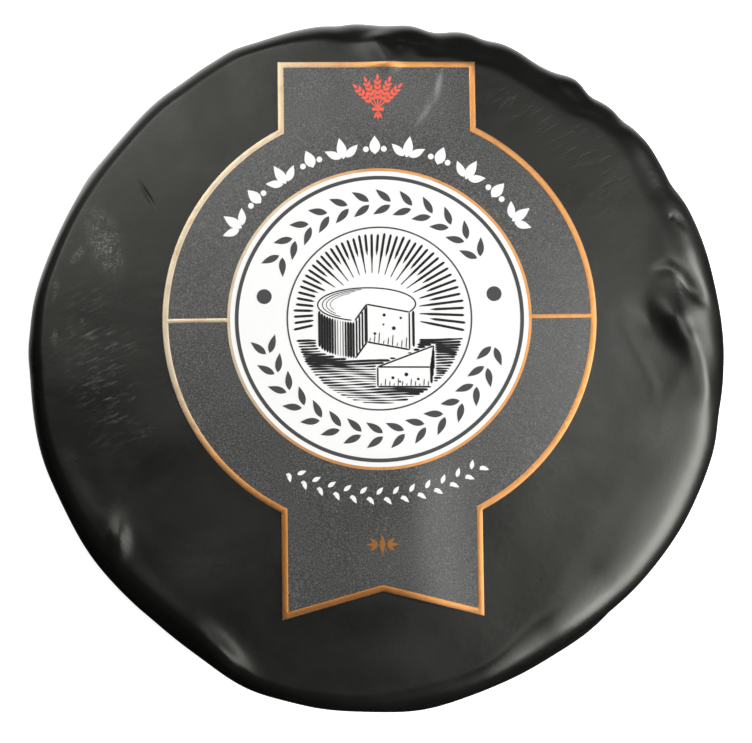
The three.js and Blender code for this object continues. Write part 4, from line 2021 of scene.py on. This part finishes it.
def main() -> None:
    """Build the truckle, its label and the studio."""
    logging.basicConfig(level=logging.INFO, format="%(name)s: %(message)s")
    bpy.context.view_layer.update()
    palette = Palette(grain_group(), mottle_group(), patch_group(), streak_group())
    wax = BlackWax("black_wax", (0.0045, 0.0048, 0.004), 0.3).make(palette)
    # Painted sheen on the paper: pale along the crease in the tab, and a little paler in the tab and down the
    # tail
    painted_sheen_places = tuple(
        WearOrSheenPlace(WearOrSheen.CREASED, *row)
        for row in (
            (15.1, 69.7, 1.35, 5.8, -12, 0.9),
            (11.6, 62.7, 0.95, 6.4, -34, 0.6),
            (7, 66, 19, 14, 0, 0.13),
            (4, -51, 13, 20, 0, 0.1),
        )
    )
    slate = GrainedPaper(
        "slate_paper",
        (0.051, 0.0515, 0.0493),
        0.3,
        grain_mm=0.36,
        spread=0.4,
        lift_mm=0.0015,
        sheen=0.68,
        painted_sheens=painted_sheen_places,
        flecks=3.0,
    )
    paper = slate.make(palette)
    foil = CopperFoil("copper_foil", (0.78, 0.365, 0.125), 0.4, 1.0).make(palette)
    white = GrainedPaper("white_print", (0.87, 0.87, 0.856), 0.5, spread=0.04).make(palette)
    ink = GrainedPaper("dark_ink", (0.044, 0.044, 0.045), 0.5, spread=0.3).make(palette)
    black = GrainedPaper("black_ink", (0.012, 0.012, 0.012), 0.6, spread=0.3, sheen=0.25).make(palette)
    red = GrainedPaper("red_ink", (0.82, 0.11, 0.06), 0.5, spread=0.12).make(palette)

    truckle = WaxedTruckle()
    dress(truckle.build(), wax, "black_wax", "waxed_truckle")
    label = Rosette(truckle)
    dress(label.sheet(), paper, "dark_label", "label_sheet")
    dress(label.border(), foil, "copper_foil", "copper_border")
    on_paper, on_white = label.print_lift(), label.overprint_lift()
    dress(label.roundel(), white, "white_print", "white_roundel")
    ring = label.ring("foil_ring", label.copper_ring_radius, label.copper_ring_width, on_paper, label.foil)
    dress(ring, foil, "copper_foil", "copper_ring")
    for name, node, radius, width in (
        ("dark_ring_print", "dark_ring", label.dark_ring_radius, label.dark_ring_width),
        ("picture_edge_print", "picture_rule", label.picture_radius, label.picture_rule),
    ):
        dress(label.ring(name, radius, width, on_white, label.ink), ink, "dark_print", node)
    x, y = label.bullet_centre
    for side, node in ((-1, "left_bullet"), (1, "right_bullet")):
        bullet = label.plate(node + "_print", [dot(label.bullet_radius, (side * x, y), 40)], on_white)
        dress(bullet, ink, "dark_print", node)
    motifs = Print()
    for name, loops, lift, finish, slot in (
        ("upper_garland", motifs.upper_garland(), on_paper, white, "white_print"),
        ("lower_garland", motifs.lower_garland(), on_paper, white, "white_print"),
        ("wreath", motifs.wreath(), on_white, ink, "dark_print"),
        ("red_sheaf", motifs.red_sheaf(), on_paper, red, "dark_print"),
        ("copper_lozenge", motifs.copper_lozenge(), on_paper, foil, "copper_foil"),
    ):
        dress(label.plate(name, loops, lift), finish, slot)
    dress(label.plate("picture_engraving", Engraving().everything(), on_white, 6.0), black, "dark_print")

    Studio().build()


if __name__ == "__main__":
    main()
